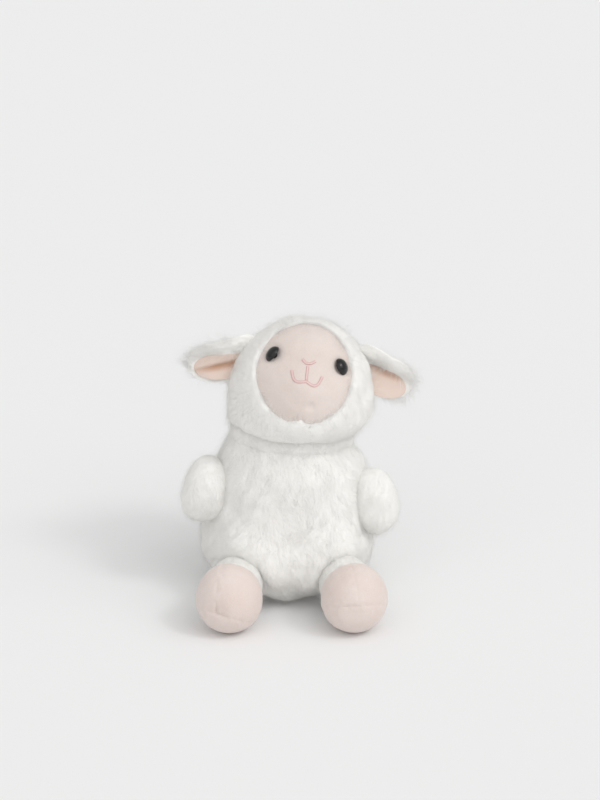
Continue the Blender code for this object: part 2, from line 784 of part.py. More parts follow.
def make_ear(side):
    hinge, turn = ear_place(side)
    pivot = add_pivot(f"ear_pivot_{side}", hinge)
    middle = Matrix.Translation((0.0, 0.0, EAR_LENGTH / 2 - EAR_ROOT_RADIUS))
    place = Matrix.Translation(hinge) @ turn @ middle
    half = (EAR_HALF_HEIGHT, EAR_HALF_THICKNESS, EAR_LENGTH / 2)
    ear = Form(
        f"ear_{side}", half, EAR_SWELL_SHARES, LIMB_FULLNESS_SHARES, SMALL_GRID, place,
        EAR_CURL, None,
    )
    half = (LINING_HALF_HEIGHT, LINING_HALF_THICKNESS, LINING_LENGTH / 2)
    forward = Matrix.Translation((0.0, -EAR_HALF_THICKNESS, EAR_ROOT_RADIUS / 2))
    curl = EAR_CURL * (LINING_HALF_HEIGHT / EAR_HALF_HEIGHT) ** 2
    lining = Form(
        f"lining_{side}", half, EAR_SWELL_SHARES, LIMB_FULLNESS_SHARES, SMALL_GRID,
        place @ forward, curl, None,
    )
    back = add_piece(f"ear_back_{side}", form_mesh(ear), "white_plush", pivot)
    cut(back, form_cutter(lining, SEAM_GAP))
    add_piece(f"ear_lining_{side}", form_mesh(lining), "pink_velboa", pivot)


def make_arm(side, torso):
    """An arm of a front and a back panel over its stuffing, cut to lie against the torso."""
    arm = arm_form(side)
    sign = SIDES[side]
    centre = Vector(arm.place.translation)
    top = centre + Vector((-sign * ARM_SHOULDER_IN, 0.0, ARM_HALF_LENGTH))
    pivot = add_pivot(f"arm_pivot_{side}", top)
    half_gap = SEAM_GAP / 2
    front = half_space(f"arm_front_{side}", centre - Vector((0, half_gap, 0)), (0, -1, 0))
    back = half_space(f"arm_back_{side}", centre + Vector((0, half_gap, 0)), (0, 1, 0))
    inside = add_cutter(f"arm_inside_{side}", form_mesh(arm, -PLUSH_THICKNESS))
    cut(inside, form_cutter(torso, PLUSH_THICKNESS))
    for name, block in (("front", front), ("back", back)):
        piece = add_piece(f"arm_{name}_panel_{side}", form_mesh(arm), "white_plush", pivot)
        keep(piece, block)
        cut(piece, form_cutter(torso, SEAM_GAP), inside)
    beside = form_cutter(torso, PLUSH_THICKNESS + FILLING_GAP)
    filling(f"arm_stuffing_{side}", arm, PLUSH_THICKNESS, pivot, (beside,))


def make_leg(side, torso, floor):
    """A plush sleeve, and a foot of an inner and an outer panel over a sole."""
    leg = leg_form(side)
    frame = leg_frame(side)
    sign = SIDES[side]
    turn = frame.to_3x3()
    run = turn.col[2]
    across = Vector((0.0, 0.0, 1.0)).cross(run) * sign
    hinge = Vector((sign * HIP_OUT, HIP_AXIS_Y, HIP_AXIS_HEIGHT))
    pivot = add_pivot(f"leg_pivot_{side}", hinge)
    gap = run * SEAM_GAP / 2
    ankle = frame.translation + run * LEG_HALF_LENGTH * ANKLE_SHARE
    sleeve_side = half_space(f"sleeve_side_{side}", ankle - gap, -run)
    foot_side = half_space(f"foot_side_{side}", ankle + gap, run)
    tilt = math.radians(SOLE_TILT_DEG)
    sole_down = -(Vector((0.0, 0.0, 1.0)) * math.cos(tilt) - run * math.sin(tilt))
    heel = ankle - Vector((0.0, 0.0, FOOT_RADIUS * (1 - SOLE_HEEL_SHARE)))
    lift = sole_down * SEAM_GAP / 2
    sole_side = half_space(f"sole_side_{side}", heel + lift, sole_down)
    upper_side = half_space(f"upper_side_{side}", heel - lift, -sole_down)
    sideways = across * SEAM_GAP / 2
    outer_side = half_space(f"outer_side_{side}", ankle - sideways, -across)
    inner_side = half_space(f"inner_side_{side}", ankle + sideways, across)

    def foot_panel(name, *blocks):
        blocks = (foot_side, *blocks)
        sewn_panel(name, leg, VELBOA_THICKNESS, "pink_velboa", pivot, blocks, ())

    against_torso = form_cutter(torso, SEAM_GAP)
    sewn_panel(
        f"leg_sleeve_{side}", leg, PLUSH_THICKNESS, "white_plush", pivot,
        (sleeve_side,), (against_torso,),
    )
    foot_panel(f"foot_sole_{side}", sole_side, floor)
    foot_panel(f"foot_outer_panel_{side}", upper_side, outer_side)
    foot_panel(f"foot_inner_panel_{side}", upper_side, inner_side)
    filling(f"leg_stuffing_{side}", leg, PLUSH_THICKNESS, pivot, (against_torso,))


def make_tail(torso):
    tail = tail_form()
    top = Vector((0.0, TAIL_BACK - TAIL_HALF_DEPTH, TAIL_RISE + TAIL_HALF_LENGTH))
    pivot = add_pivot("tail_pivot", top)
    cover = add_piece("tail_cover", form_mesh(tail), "white_plush", pivot)
    cut(cover, form_cutter(tail, -PLUSH_THICKNESS), form_cutter(torso, SEAM_GAP))
    beside = form_cutter(torso, SEAM_GAP)
    filling("tail_stuffing", tail, PLUSH_THICKNESS, pivot, (beside,))


def centre_on_origin():
    """Moves the sheep so that the middle of its bounding box stands on the origin."""
    bpy.context.view_layer.update()
    graph = bpy.context.evaluated_depsgraph_get()
    low = Vector((CUT_REACH, CUT_REACH, CUT_REACH))
    high = -low
    for piece in parts.objects:
        if piece.type == "EMPTY":
            continue
        shown = piece.evaluated_get(graph)
        mesh = shown.to_mesh()
        for vert in mesh.vertices:
            point = shown.matrix_world @ vert.co
            low = Vector(map(min, low, point))
            high = Vector(map(max, high, point))
        shown.to_mesh_clear()
    sheep.location = (-(low.x + high.x) / 2, -(low.y + high.y) / 2, -low.z)


def main():
    clear_scene()
    make_materials()
    torso = torso_form()
    head = head_form()
    torso_pivot = add_pivot("torso_pivot", (0.0, 0.0, 0.0))
    make_torso(torso_pivot, torso)
    neck_cuts = make_neck(add_pivot("neck_pivot", neck_point()))
    make_head(add_pivot("head_pivot", neck_point()), head, neck_cuts)
    floor = half_space("floor_under_feet", (0.0, 0.0, 0.0), (0.0, 0.0, 1.0))
    for side in SIDES:
        make_ear(side)
        make_arm(side, torso)
        make_leg(side, torso, floor)
    make_tail(torso)
    centre_on_origin()


main()
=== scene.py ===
# %% [markdown]
# # A plush sheep
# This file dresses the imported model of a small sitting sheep. The real toy is sewn from two fabrics:
# a long white plush, and a short pink velboa for the face, the ears' linings and the feet.
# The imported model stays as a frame. Each soft solid in it is replaced by a finer piece that follows it.

# %% Load the frame
import json
import math

import bmesh
import bpy
import numpy as np
from mathutils import Matrix, Vector, noise
from mathutils.bvhtree import BVHTree


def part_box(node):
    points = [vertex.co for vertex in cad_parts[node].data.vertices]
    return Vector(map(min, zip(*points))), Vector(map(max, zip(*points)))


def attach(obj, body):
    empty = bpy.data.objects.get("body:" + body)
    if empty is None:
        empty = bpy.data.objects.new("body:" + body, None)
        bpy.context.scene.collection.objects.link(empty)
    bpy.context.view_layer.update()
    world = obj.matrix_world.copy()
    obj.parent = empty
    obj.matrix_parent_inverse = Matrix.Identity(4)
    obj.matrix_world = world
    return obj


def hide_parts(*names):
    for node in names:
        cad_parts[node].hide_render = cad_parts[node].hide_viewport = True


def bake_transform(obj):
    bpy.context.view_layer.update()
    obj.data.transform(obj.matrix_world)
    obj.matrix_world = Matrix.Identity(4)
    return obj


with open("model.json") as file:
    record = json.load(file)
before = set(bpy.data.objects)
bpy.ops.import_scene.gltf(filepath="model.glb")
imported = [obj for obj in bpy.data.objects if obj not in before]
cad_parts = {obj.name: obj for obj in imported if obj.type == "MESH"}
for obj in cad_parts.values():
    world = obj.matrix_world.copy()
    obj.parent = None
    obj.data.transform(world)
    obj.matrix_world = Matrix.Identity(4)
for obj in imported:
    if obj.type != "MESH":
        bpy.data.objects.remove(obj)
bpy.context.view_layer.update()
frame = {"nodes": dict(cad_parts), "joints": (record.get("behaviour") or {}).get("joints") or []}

joints = {joint["name"]: joint for joint in frame["joints"]}
SIDES = ("left", "right")
UP = Vector((0.0, 0.0, 1.0))
AHEAD = Vector((0.0, -1.0, 0.0))

# %% [markdown]
# ## Studio
# The toy sits on a plain pale floor. Area lamps would fall off across it, so the light comes from suns.
# A broad one from the upper right gives the soft shade, and a small one with it the glint in the eyes. A
# very broad one in front opens the shade under the belly, and the world fills in.

# %% Floor
scene = bpy.context.scene
scene.view_settings.view_transform = "Standard"
FLOOR_SIZE = 12.0
FLOOR_COLOUR = (0.86, 0.86, 0.86, 1.0)
shape = bmesh.new()
bmesh.ops.create_grid(shape, x_segments=2, y_segments=2, size=FLOOR_SIZE / 2)
mesh = bpy.data.meshes.new("floor")
shape.to_mesh(mesh)
shape.free()
floor = bpy.data.objects.new("floor", mesh)
scene.collection.objects.link(floor)
material = bpy.data.materials.new("pale_floor")
material.use_nodes = True
shader = material.node_tree.nodes["Principled BSDF"]
shader.inputs["Base Color"].default_value = FLOOR_COLOUR
shader.inputs["Roughness"].default_value = 1.0
shader.inputs["Specular IOR Level"].default_value = 0.0
mesh.materials.append(material)
print("floor:", FLOOR_SIZE, "m wide")

# %% Light
WORLD_STRENGTH = 0.61
SIDE_LIGHT = Vector((0.62, -0.38, 0.78))
FRONT_LIGHT = Vector((-0.10, -0.77, 0.64))
SUNS = {
    "broad_sun": (SIDE_LIGHT, 0.70, 56),
    "small_sun": (SIDE_LIGHT, 0.42, 13),
    "front_sun": (FRONT_LIGHT, 0.55, 80),
}
world = bpy.data.worlds.new("studio")
world.use_nodes = True
backing = world.node_tree.nodes["Background"]
backing.inputs["Color"].default_value = (1.0, 1.0, 1.0, 1.0)
backing.inputs["Strength"].default_value = WORLD_STRENGTH
scene.world = world
for name, (direction, strength, width) in SUNS.items():
    lamp = bpy.data.lights.new(name, "SUN")
    lamp.energy = strength
    lamp.angle = math.radians(width)
    sun = bpy.data.objects.new(name, lamp)
    sun.rotation_euler = direction.to_track_quat("Z", "Y").to_euler()
    scene.collection.objects.link(sun)
print("suns:", len(SUNS))

# %% Camera
CAMERA_RISE = math.radians(22)
CAMERA_DISTANCE = 1.6
CAMERA_LENS = 122.45
CAMERA_TARGET = Vector((-0.0006, 0.0175, 0.1150))
camera = bpy.data.objects.new("camera", bpy.data.cameras.new("camera"))
scene.collection.objects.link(camera)
back = Vector((0.0, -math.cos(CAMERA_RISE), math.sin(CAMERA_RISE)))
camera.location = CAMERA_TARGET + back * CAMERA_DISTANCE
camera.rotation_euler = (math.radians(90) - CAMERA_RISE, 0.0, 0.0)
camera.data.lens = CAMERA_LENS
camera.data.sensor_width = 36.0
scene.camera = camera
print("camera:", CAMERA_DISTANCE, "m away")

# %% [markdown]
# ## A small language for materials
# A material is a tree of nodes, whose maths is easiest to read as Python. So one class wraps a socket and
# turns +, - and * into Math nodes, and one method makes every other node.

# %% Shader helpers


class Value:
    """A socket that can stand in a Python expression."""

    def __init__(self, finish, socket):
        self.finish = finish
        self.socket = socket

    def maths(self, operation, other):
        return self.finish.node("Math", {"operation": operation}, {0: self, 1: other})

    def __add__(self, other):
        return self.maths("ADD", other)

    def __sub__(self, other):
        return self.maths("SUBTRACT", other)

    def __mul__(self, other):
        return self.maths("MULTIPLY", other)



class Finish:
    """A material in the making."""

    def __init__(self, name):
        self.material = bpy.data.materials.new(name)
        self.material.use_nodes = True
        self.tree = self.material.node_tree
        self.tree.nodes.clear()

    def node(self, kind, settings=None, inputs=None, output=0):
        """Makes one node, and gives back one of its outputs."""
        node = self.tree.nodes.new("ShaderNode" + kind)
        for key, setting in (settings or {}).items():
            setattr(node, key, setting)
        for key, value in (inputs or {}).items():
            if isinstance(value, Value):
                self.tree.links.new(value.socket, node.inputs[key])
            else:
                node.inputs[key].default_value = value
        return Value(self, node.outputs[output])

    def place(self, scale=(1.0, 1.0, 1.0)):
        here = self.node("TexCoord", output="Object")
        return self.node("Mapping", {}, {"Vector": here, "Scale": scale})

    def noise(self, place, scale, detail=3.0):
        return self.node("TexNoise", {}, {"Vector": place, "Scale": scale, "Detail": detail}, "Fac")

    def mix(self, factor, low, high):
        return self.node("Mix", {"data_type": "RGBA"}, {"Factor": factor, 6: low, 7: high}, 2)

    def done(self, **inputs):
        """Ends the tree in a shader."""
        values = {key.replace("_", " "): value for key, value in inputs.items()}
        shader = self.node("BsdfPrincipled", {}, values)
        last = self.tree.nodes.new("ShaderNodeOutputMaterial")
        self.tree.links.new(shader.socket, last.inputs["Surface"])
        return self.material


def colour(red, green, blue):
    return (red, green, blue, 1.0)


print("shader helpers: ready")

# %% [markdown]
# ## Fabrics
# Plush is a backing cloth with a long pile. The pile is modelled as strands further down, so its
# material only varies the tone from strand to strand. Velboa has a pile of one or two millimetres.
# Strands that short would hardly show, so it is a material on a smooth skin, with a fine nap and cloudy
# patches where it was stroked.

# %% Plush and velboa


def plush_pile():
    finish = Finish("white_plush_pile")
    tone = finish.node("Attribute", {"attribute_name": "tone"}, output="Fac")
    patches = finish.noise(finish.place(), 60.0, 2.0)
    shade = (tone * 0.75 + patches * 0.5).maths("MINIMUM", 1.0)
    tint = finish.mix(shade, colour(0.95, 0.94, 0.91), colour(0.985, 0.98, 0.97))
    return finish.done(Base_Color=tint, Roughness=0.9, Specular_IOR_Level=0.1)


def plush_backing():
    finish = Finish("white_plush_backing")
    place = finish.place()
    combed_place = finish.place((1.0, 1.0, 0.3))
    patches = finish.noise(place, 160.0, 3.0)
    fibres = finish.noise(combed_place, 1500.0, 3.0)
    bump = finish.node("Bump", {}, {"Strength": 0.7, "Distance": 0.0006, "Height": fibres})
    return finish.done(
        Base_Color=finish.mix(patches, colour(0.89, 0.88, 0.845), colour(0.94, 0.93, 0.905)),
        Roughness=1.0,
        Specular_IOR_Level=0.1,
        Normal=bump,
    )


def velboa(name, deep, light, crease=None):
    """Short pile: cloudy tone, a fine nap and a soft sheen. A painted shade colour darkens creases where
    tone is low.
    """
    finish = Finish(name)
    place = finish.place()
    clouds = finish.noise(place, 55.0, 3.0)
    nap = finish.noise(place, 900.0, 4.0)
    fine = finish.noise(place, 2600.0, 2.0)
    tone = (clouds * 0.8 + nap * 0.5 - 0.15).maths("MAXIMUM", 0.0).maths("MINIMUM", 1.0)
    cloth = finish.mix(tone, deep, light)
    # Painted shade: where the tone attribute is low, the crease colour stands in for the shade in a fold.
    if crease:
        lit = finish.node("Attribute", {"attribute_name": "tone"}, output="Fac")
        cloth = finish.mix(lit, crease, cloth)
    height = nap * 0.6 + fine * 0.4
    bump = finish.node("Bump", {}, {"Strength": 0.5, "Distance": 0.0005, "Height": height})
    return finish.done(
        Base_Color=cloth,
        Roughness=0.9,
        Specular_IOR_Level=0.2,
        Sheen_Weight=0.35,
        Sheen_Roughness=0.5,
        Normal=bump,
    )
print("fabrics: ready")

# %% Thread, plastic and the rest


def embroidery_thread():
    finish = Finish("pink_thread")
    place = finish.node("UVMap", {"uv_map": "along"})
    turns = finish.node("TexWave", {"bands_direction": "DIAGONAL"}, {"Vector": place, "Scale": 1.0})
    pale = finish.node("Attribute", {"attribute_name": "tone"}, output="Fac")
    tone = turns * 0.2 + pale * 0.8
    bump = finish.node("Bump", {}, {"Strength": 0.6, "Distance": 0.0002, "Height": turns})
    return finish.done(
        Base_Color=finish.mix(tone, colour(0.66, 0.40, 0.39), colour(0.84, 0.63, 0.60)),
        Roughness=0.55,
        Normal=bump,
    )


def eye_plastic():
    finish = Finish("black_eye_plastic")
    specks = finish.noise(finish.place(), 700.0, 2.0)
    return finish.done(
        Base_Color=finish.mix(specks, colour(0.006, 0.006, 0.007), colour(0.014, 0.013, 0.014)),
        Roughness=specks * 0.04 + 0.04,
        Specular_IOR_Level=0.42,
    )


def plain(name, deep, light, rough, scale):
    """Woven cloth, moulded washers and beans: a slightly uneven tone."""
    finish = Finish(name)
    tone = finish.noise(finish.place(), scale, 3.0)
    return finish.done(Base_Color=finish.mix(tone, deep, light), Roughness=rough)


pile_finish = plush_pile()
backing_finish = plush_backing()
face_finish = velboa("face_velboa", colour(0.68, 0.575, 0.525), colour(0.79, 0.715, 0.675))
foot_finish = velboa("foot_velboa", colour(0.70, 0.575, 0.52), colour(0.79, 0.71, 0.675))
# The ear's third colour is painted shade for the fold in its lining.
ear_finish = velboa(
    "ear_velboa", colour(0.71, 0.55, 0.47), colour(0.81, 0.68, 0.61), colour(0.53, 0.31, 0.20)
)
thread_finish = embroidery_thread()
eye_finish = eye_plastic()
cloth_finish = plain("pouch_muslin", colour(0.74, 0.72, 0.66), colour(0.84, 0.82, 0.77), 0.9, 900.0)
washer_finish = plain("washer_plastic", colour(0.78, 0.78, 0.76), colour(0.84, 0.84, 0.82), 0.4, 300.0)
bean_finish = plain("bean_plastic", colour(0.70, 0.70, 0.68), colour(0.86, 0.86, 0.84), 0.5, 500.0)
print("materials:", len(bpy.data.materials))

# %% [markdown]
# ## Stuffed skins
# A stuffed skin is one closed form, round everywhere. Cloth simulation could blow it up from flat
# panels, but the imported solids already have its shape. So a ball of small triangles is shrunk onto them
# from all sides, along lines from a middle point, and then smoothed.

# %% Wrapping and relief
SEAM_WIDTH = 0.0005
RAY_LENGTH = 0.3
COAT_LUMP = (0.0013, 0.0120)
LOCKS = ((0.0004, 0.0036), (0.0003, 0.0018))
LOCK_STRETCH = 2.6


def clamp(value):
    return min(1.0, max(0.0, value))


def hill(far):
    """1 at 0, falling softly to 0 at a distance of 1."""
    return max(0.0, 1.0 - far * far) ** 2


def bell(far, width):
    """1 at 0, falling towards 0 without an end."""
    return math.exp(-((far / width) ** 2))


def bump_at(point, centre, radius):
    return hill((point - centre).length / radius)


def solids_tree(names, hull=None):
    """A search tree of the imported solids' faces, with the hull of one that has open ends."""
    shape = bmesh.new()
    if hull:
        shape.from_mesh(frame["nodes"][hull].data)
        bmesh.ops.convex_hull(shape, input=shape.verts[:])
    for name in names:
        shape.from_mesh(frame["nodes"][name].data)
    tree = BVHTree.FromBMesh(shape)
    shape.free()
    return tree


def wrapped(names, centre, fineness, passes, hull=None):
    """A ball that was shrunk onto solids and smoothed. Four rays a point step over the seams' gaps."""
    tree = solids_tree(names, hull)
    shape = bmesh.new()
    bmesh.ops.create_icosphere(shape, subdivisions=fineness, radius=1.0)
    for vert in shape.verts:
        direction = vert.co.normalized()
        across = direction.orthogonal().normalized() * SEAM_WIDTH
        beside = direction.cross(across).normalized() * SEAM_WIDTH
        reach = 0.0
        for shift in (across, -across, beside, -beside):
            hit = tree.ray_cast(centre + shift + direction * RAY_LENGTH, -direction)[0]
            if hit:
                reach = max(reach, (hit - centre).dot(direction))
        vert.co = centre + direction * reach
    smoothed(shape, passes)
    return shape


def smoothed(shape, passes):
    for _ in range(passes):
        bmesh.ops.smooth_vert(
            shape, verts=shape.verts, factor=0.5, use_axis_x=True, use_axis_y=True, use_axis_z=True
        )


def raised(shape, height_at):
    """Moves each point of a skin outwards by height_at(its place)."""
    shape.normal_update()
    for vert in shape.verts:
        vert.co += vert.normal * height_at(vert.co)


def lumpy(shape, height, size, stretch=(1.0, 1.0, 1.0)):
    """Raises soft lumps on a skin, as the pile does over its filling."""
    def lump(place):
        return height * noise.noise(Vector([value / size / wide for value, wide in zip(place, stretch)]))
    raised(shape, lump)


def coated(shape, grow, along=2, strength=1.0):
    """Gives a skin the thickness of its plush, and locks that are combed along one axis."""
    stretch = [LOCK_STRETCH if axis == along else 1.0 for axis in range(3)]
    raised(shape, lambda place: grow)
    lumpy(shape, COAT_LUMP[0] * strength, COAT_LUMP[1])
    for height, size in LOCKS:
        lumpy(shape, height * strength, size, stretch)


print("wrapping: ready")

# %% Panels and pieces


def closed_panel(shape, thickness, crisp=False):
    """Gives an open skin a back side and a rim."""
    shape.normal_update()
    rim = []
    for edge in shape.edges:
        if edge.is_boundary:
            edge.smooth = not crisp
            loop = edge.link_loops[0]
            rim.append((loop.vert, loop.link_loop_next.vert))
    skin = shape.faces[:]
    inner = {vert: shape.verts.new(vert.co - vert.normal * thickness) for vert in shape.verts[:]}
    for face in skin:
        shape.faces.new([inner[vert] for vert in reversed(face.verts)])
    for a, b in rim:
        shape.faces.new((b, a, inner[a], inner[b]))


def placed(name, mesh, material, body):
    """A piece in the scene. It rides on a body, unless it crosses a joint; then it rides on none."""
    mesh.materials.append(material)
    piece = bpy.data.objects.new(name, mesh)
    scene.collection.objects.link(piece)
    if body:
        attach(piece, body)
    print(f"{name}: {len(mesh.polygons)} faces")
    return piece


def sewn(shape, name, material, body, slot, fill, *nodes):
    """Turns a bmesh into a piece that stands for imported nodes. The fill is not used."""
    mesh = bpy.data.meshes.new(name)
    shape.normal_update()
    shape.to_mesh(mesh)
    shape.free()
    mesh.shade_smooth()
    piece = placed(name, mesh, material, body)
    if nodes:
        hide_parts(*nodes)
    return piece


def plush(shape, name, body, fill, *nodes):
    return sewn(shape, name, backing_finish, body, "white_plush", fill, *nodes)


def middle_of(*names):
    """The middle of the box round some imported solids."""
    lows, highs = zip(*[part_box(name) for name in names])
    low = Vector([min(values) for values in zip(*lows)])
    high = Vector([max(values) for values in zip(*highs)])
    return (low + high) / 2

print("panels: ready")

# %% [markdown]
# ## Pile
# Dense white pile reads as a soft, lumpy surface with a halo of fine hairs. Real pile would cost millions
# of faces, so the skin itself takes the shape of the combed locks, and thin hairs grow out of it. Each is
# a closed blade with a bend in the middle, which costs six faces.

# %% Where hairs grow
RANDOM = np.random.default_rng(7)
SWIRL_WAVES = 7


def unit(vectors):
    length = np.linalg.norm(vectors, axis=1, keepdims=True)
    return vectors / np.maximum(length, 1e-9)


def triples(items, key, kind=float):
    """A property with three numbers for each part of a mesh, as an array."""
    values = np.empty(len(items) * 3, kind)
    items.foreach_get(key, values)
    return values.reshape(-1, 3)


def reach(places, origin, axis):
    """How far places lie from an origin in the direction of an axis."""
    return (places - np.array(origin)) @ np.array(axis)


def spread(mesh, count, grows):
    """Random places over the part of a skin where grows(places, normals) is true."""
    mesh.calc_loop_triangles()
    places = triples(mesh.vertices, "co")
    normals = triples(mesh.vertex_normals, "vector")
    corners = triples(mesh.loop_triangles, "vertices", np.int32)
    middles = places[corners].mean(axis=1)
    facing = unit(normals[corners].mean(axis=1))
    edge_a = places[corners[:, 1]] - places[corners[:, 0]]
    edge_b = places[corners[:, 2]] - places[corners[:, 0]]
    area = np.linalg.norm(np.cross(edge_a, edge_b), axis=1) / 2
    weight = area * grows(middles, facing)
    pick = RANDOM.choice(len(corners), count, p=weight / weight.sum())
    u, v = RANDOM.random((2, count, 1))
    folded = u + v > 1
    u = np.where(folded, 1 - u, u)
    v = np.where(folded, 1 - v, v)
    corner = corners[pick]
    root, normal = [
        values[corner[:, 0]] * (1 - u - v) + values[corner[:, 1]] * u + values[corner[:, 2]] * v
        for values in (places, normals)
    ]
    return root, unit(normal), weight.sum()


def swirls(places, size, seed):
    """A smooth random vector field, made of a few waves."""
    source = np.random.default_rng(seed)
    field = np.zeros_like(places)
    for _ in range(SWIRL_WAVES):
        wave = source.normal(size=3) / size
        phase = source.random(3) * 6.28
        field += source.normal(size=3) * np.sin(places @ wave[:, None] + phase)
    return field / 2.6
print("places for hairs: ready")

# %% Strands
HAIR_HALF_WIDTH = 0.000024
ROOT_DEPTH = 0.0004
OVER_FLOOR = 0.0003
LOCK_SIZE = 0.009
WISP_SIZE = 0.003


def strands_mesh(name, roots, bends, tips, outward, wide, tones):
    """One mesh of closed six-sided blades, each flat on its outer side, from their three points."""
    count = len(roots)
    along = unit(tips - roots)
    side = unit(np.cross(along, outward))
    points = np.empty((count, 5, 3))
    points[:, 0] = roots
    points[:, 1] = bends + side * wide
    points[:, 2] = bends - side * wide
    points[:, 3] = bends - np.cross(side, along) * wide * 0.5
    points[:, 4] = tips
    pattern = np.array([[0, 1, 2], [0, 2, 3], [0, 3, 1], [4, 2, 1], [4, 3, 2], [4, 1, 3]])
    corners = (np.arange(count)[:, None, None] * 5 + pattern).reshape(-1)
    mesh = bpy.data.meshes.new(name)
    mesh.vertices.add(count * 5)
    mesh.vertices.foreach_set("co", points.reshape(-1))
    mesh.loops.add(len(corners))
    mesh.loops.foreach_set("vertex_index", corners)
    mesh.polygons.add(count * 6)
    mesh.polygons.foreach_set("loop_start", np.arange(0, count * 18, 3))
    mesh.update(calc_edges=True)
    tone = mesh.attributes.new("tone", "FLOAT", "POINT")
    tone.data.foreach_set("value", np.repeat(tones, 5).astype(np.float32))
    return mesh


def pile(name, skin, body, per_mm2, length, lay, grows, stand=0.16, seed=1, swirl=0.5, node=None):
    """Grows hairs on a skin. lay(places, normals) is the way the cloth was combed."""
    area = spread(skin.data, 1, grows)[2]
    count = int(area * 1e6 * per_mm2)
    roots, normal, _ = spread(skin.data, count, grows)
    way = lay(roots, normal) + swirls(roots, LOCK_SIZE, seed) * swirl
    way = way + swirls(roots, WISP_SIZE, seed + 50) * 0.25 + RANDOM.normal(size=way.shape) * 0.22
    way = unit(way - normal * np.sum(way * normal, axis=1, keepdims=True))
    size = length * (0.6 + 0.8 * RANDOM.random((count, 1)))
    lift = stand * (0.3 + 3.9 * RANDOM.random((count, 1)) ** 3)
    tips = roots + way * size + normal * size * lift
    bends = roots + (tips - roots) * 0.45 + normal * size * 0.07
    for points in (bends, tips):
        points[:, 2] = np.maximum(points[:, 2], OVER_FLOOR)
    tones = RANDOM.random(count)
    wide = HAIR_HALF_WIDTH * (0.7 + 0.6 * RANDOM.random((count, 1)))
    mesh = strands_mesh(name, roots - normal * ROOT_DEPTH, bends, tips, normal, wide, tones)
    piece = placed(name, mesh, pile_finish, body)
    if node:
        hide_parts(node)
    return piece


def combed(*way):
    """The same direction everywhere, before the locks swirl."""
    return lambda places, normals: np.tile(np.array(way, float), (len(places), 1))


print("pile helpers: ready")

# %% [markdown]
# ## Torso
# The torso is a pear with a soft belly between the legs. The long pile hides the seams between its
# panels, so one skin wraps them all. The pile is combed down, and is grown panel by panel.

# %% Torso forms
TORSO_PANELS = ["front_panel", "back_panel_left", "back_panel_right", "base_panel", "stuffing"]
TORSO_ASIDE = -0.0085
TORSO_MIDDLE = Vector((TORSO_ASIDE, 0.0190, 0.0480))
BELLY = Vector((-0.0091, -0.0270, 0.0276))
BELLY_RADIUS = 0.0170
BELLY_BULGE = 0.0028
BELLY_CREASES = [
    (Vector((-0.0253, 0.0, 0.0300)), Vector((-0.0190, 0.0, 0.0150))),
    (Vector((0.0035, 0.0, 0.0350)), Vector((0.0030, 0.0, 0.0200))),
]
CREASE_WIDTH = 0.0024
CREASE_DEPTH = 0.0018
LEG_ROOTS = [Vector((0.0247, 0.0, 0.0192)), Vector((-0.0374, 0.0, 0.0192))]
COLLAR_RADIUS = 0.0172
COLLAR_SWELL = 0.0085
SKIRT_MIDDLE = Vector((-0.0040, 0.0, 0.0020))
SKIRT_SWELL = 0.0050


def crease(point, start, end):
    """1 on a line drawn on the front, falling to 0 beside it and past its ends."""
    flat = Vector((point.x, 0.0, point.z))
    run = end - start
    near = start + run * clamp((flat - start).dot(run) / run.length_squared)
    return bell((flat - near).length, CREASE_WIDTH)


def torso_relief(point):
    """The belly's bulge and its two creases, as a height over the skin."""
    height = BELLY_BULGE * bump_at(point, BELLY, BELLY_RADIUS)
    if point.y < 0:
        for start, end in BELLY_CREASES:
            height -= CREASE_DEPTH * crease(point, start, end)
    return height


def collar(point):
    """How far the plush swells forward round the roots of the legs, and as a skirt between them."""
    swell = 0.0
    for root in LEG_ROOTS:
        far = math.hypot(point.x - root.x, point.z - root.z) - COLLAR_RADIUS
        swell = max(swell, bell(far, 0.0120 if far > 0 else 0.0080))
    rise = clamp((point.z - 0.0040) / 0.0140)
    skirt = bump_at(Vector((point.x * 0.6, 0.0, point.z)), SKIRT_MIDDLE, 0.0150)
    return (COLLAR_SWELL * swell * rise + SKIRT_SWELL * skirt) * clamp(-point.y / 0.0120)


def make_torso():
    shape = wrapped([f"torso_{panel}" for panel in TORSO_PANELS], TORSO_MIDDLE, 6, 5)
    raised(shape, torso_relief)
    for vert in shape.verts:
        vert.co.y -= collar(vert.co)
    coated(shape, 0.0016)
    for vert in shape.verts:
        vert.co.z = max(vert.co.z, 0.0002)
    return plush(shape, "torso_cover", "torso", 0.8, "torso_stuffing")


torso_cover = make_torso()

# %% Torso pile
SIDE_SEAM = 0.0195
BACK_SEAM = -0.0065
TORSO_PILES = [("front", "front_panel", 5), ("left", "back_panel_left", 4), ("right", "back_panel_right", 5)]
neck_pivot = Vector(joints["neck_turn"]["pos_m"])
neck_up = Vector(joints["neck_turn"]["axis"]).normalized()


def under_rim(places, normals):
    """False on the flat top of the torso, which the neck covers."""
    return ~((normals @ np.array(neck_up) > 0.8) & (reach(places, neck_pivot, neck_up) > 0.017))


def torso_lay(places, normals):
    way = np.tile(np.array([0.0, -0.1, -1.0]), (len(places), 1))
    way[:, 0] = (places[:, 0] - TORSO_ASIDE) * 12
    return way


def torso_side(side):
    """Where one panel's pile grows: in front of the side seams, or on one half behind them."""
    def inside(places, normals):
        coat = under_rim(places, normals) & (places[:, 2] > 0.0035)
        if side == "front":
            return coat & (places[:, 1] < SIDE_SEAM)
        left = places[:, 0] > BACK_SEAM
        return coat & (places[:, 1] >= SIDE_SEAM) & (left if side == "left" else ~left)
    return inside


for side, panel, seed in TORSO_PILES:
    pile(
        f"torso_pile_{side}", torso_cover, "torso", 1.2, 0.0060, torso_lay, torso_side(side), seed=seed,
        node=f"torso_{panel}",
    )


def base_zone(places, normals):
    return (places[:, 2] < 0.0100) & (places[:, 2] > 0.0012)


def base_lay(places, normals):
    way = places - np.array(TORSO_MIDDLE)
    way[:, 2] = 0.0
    return unit(way)


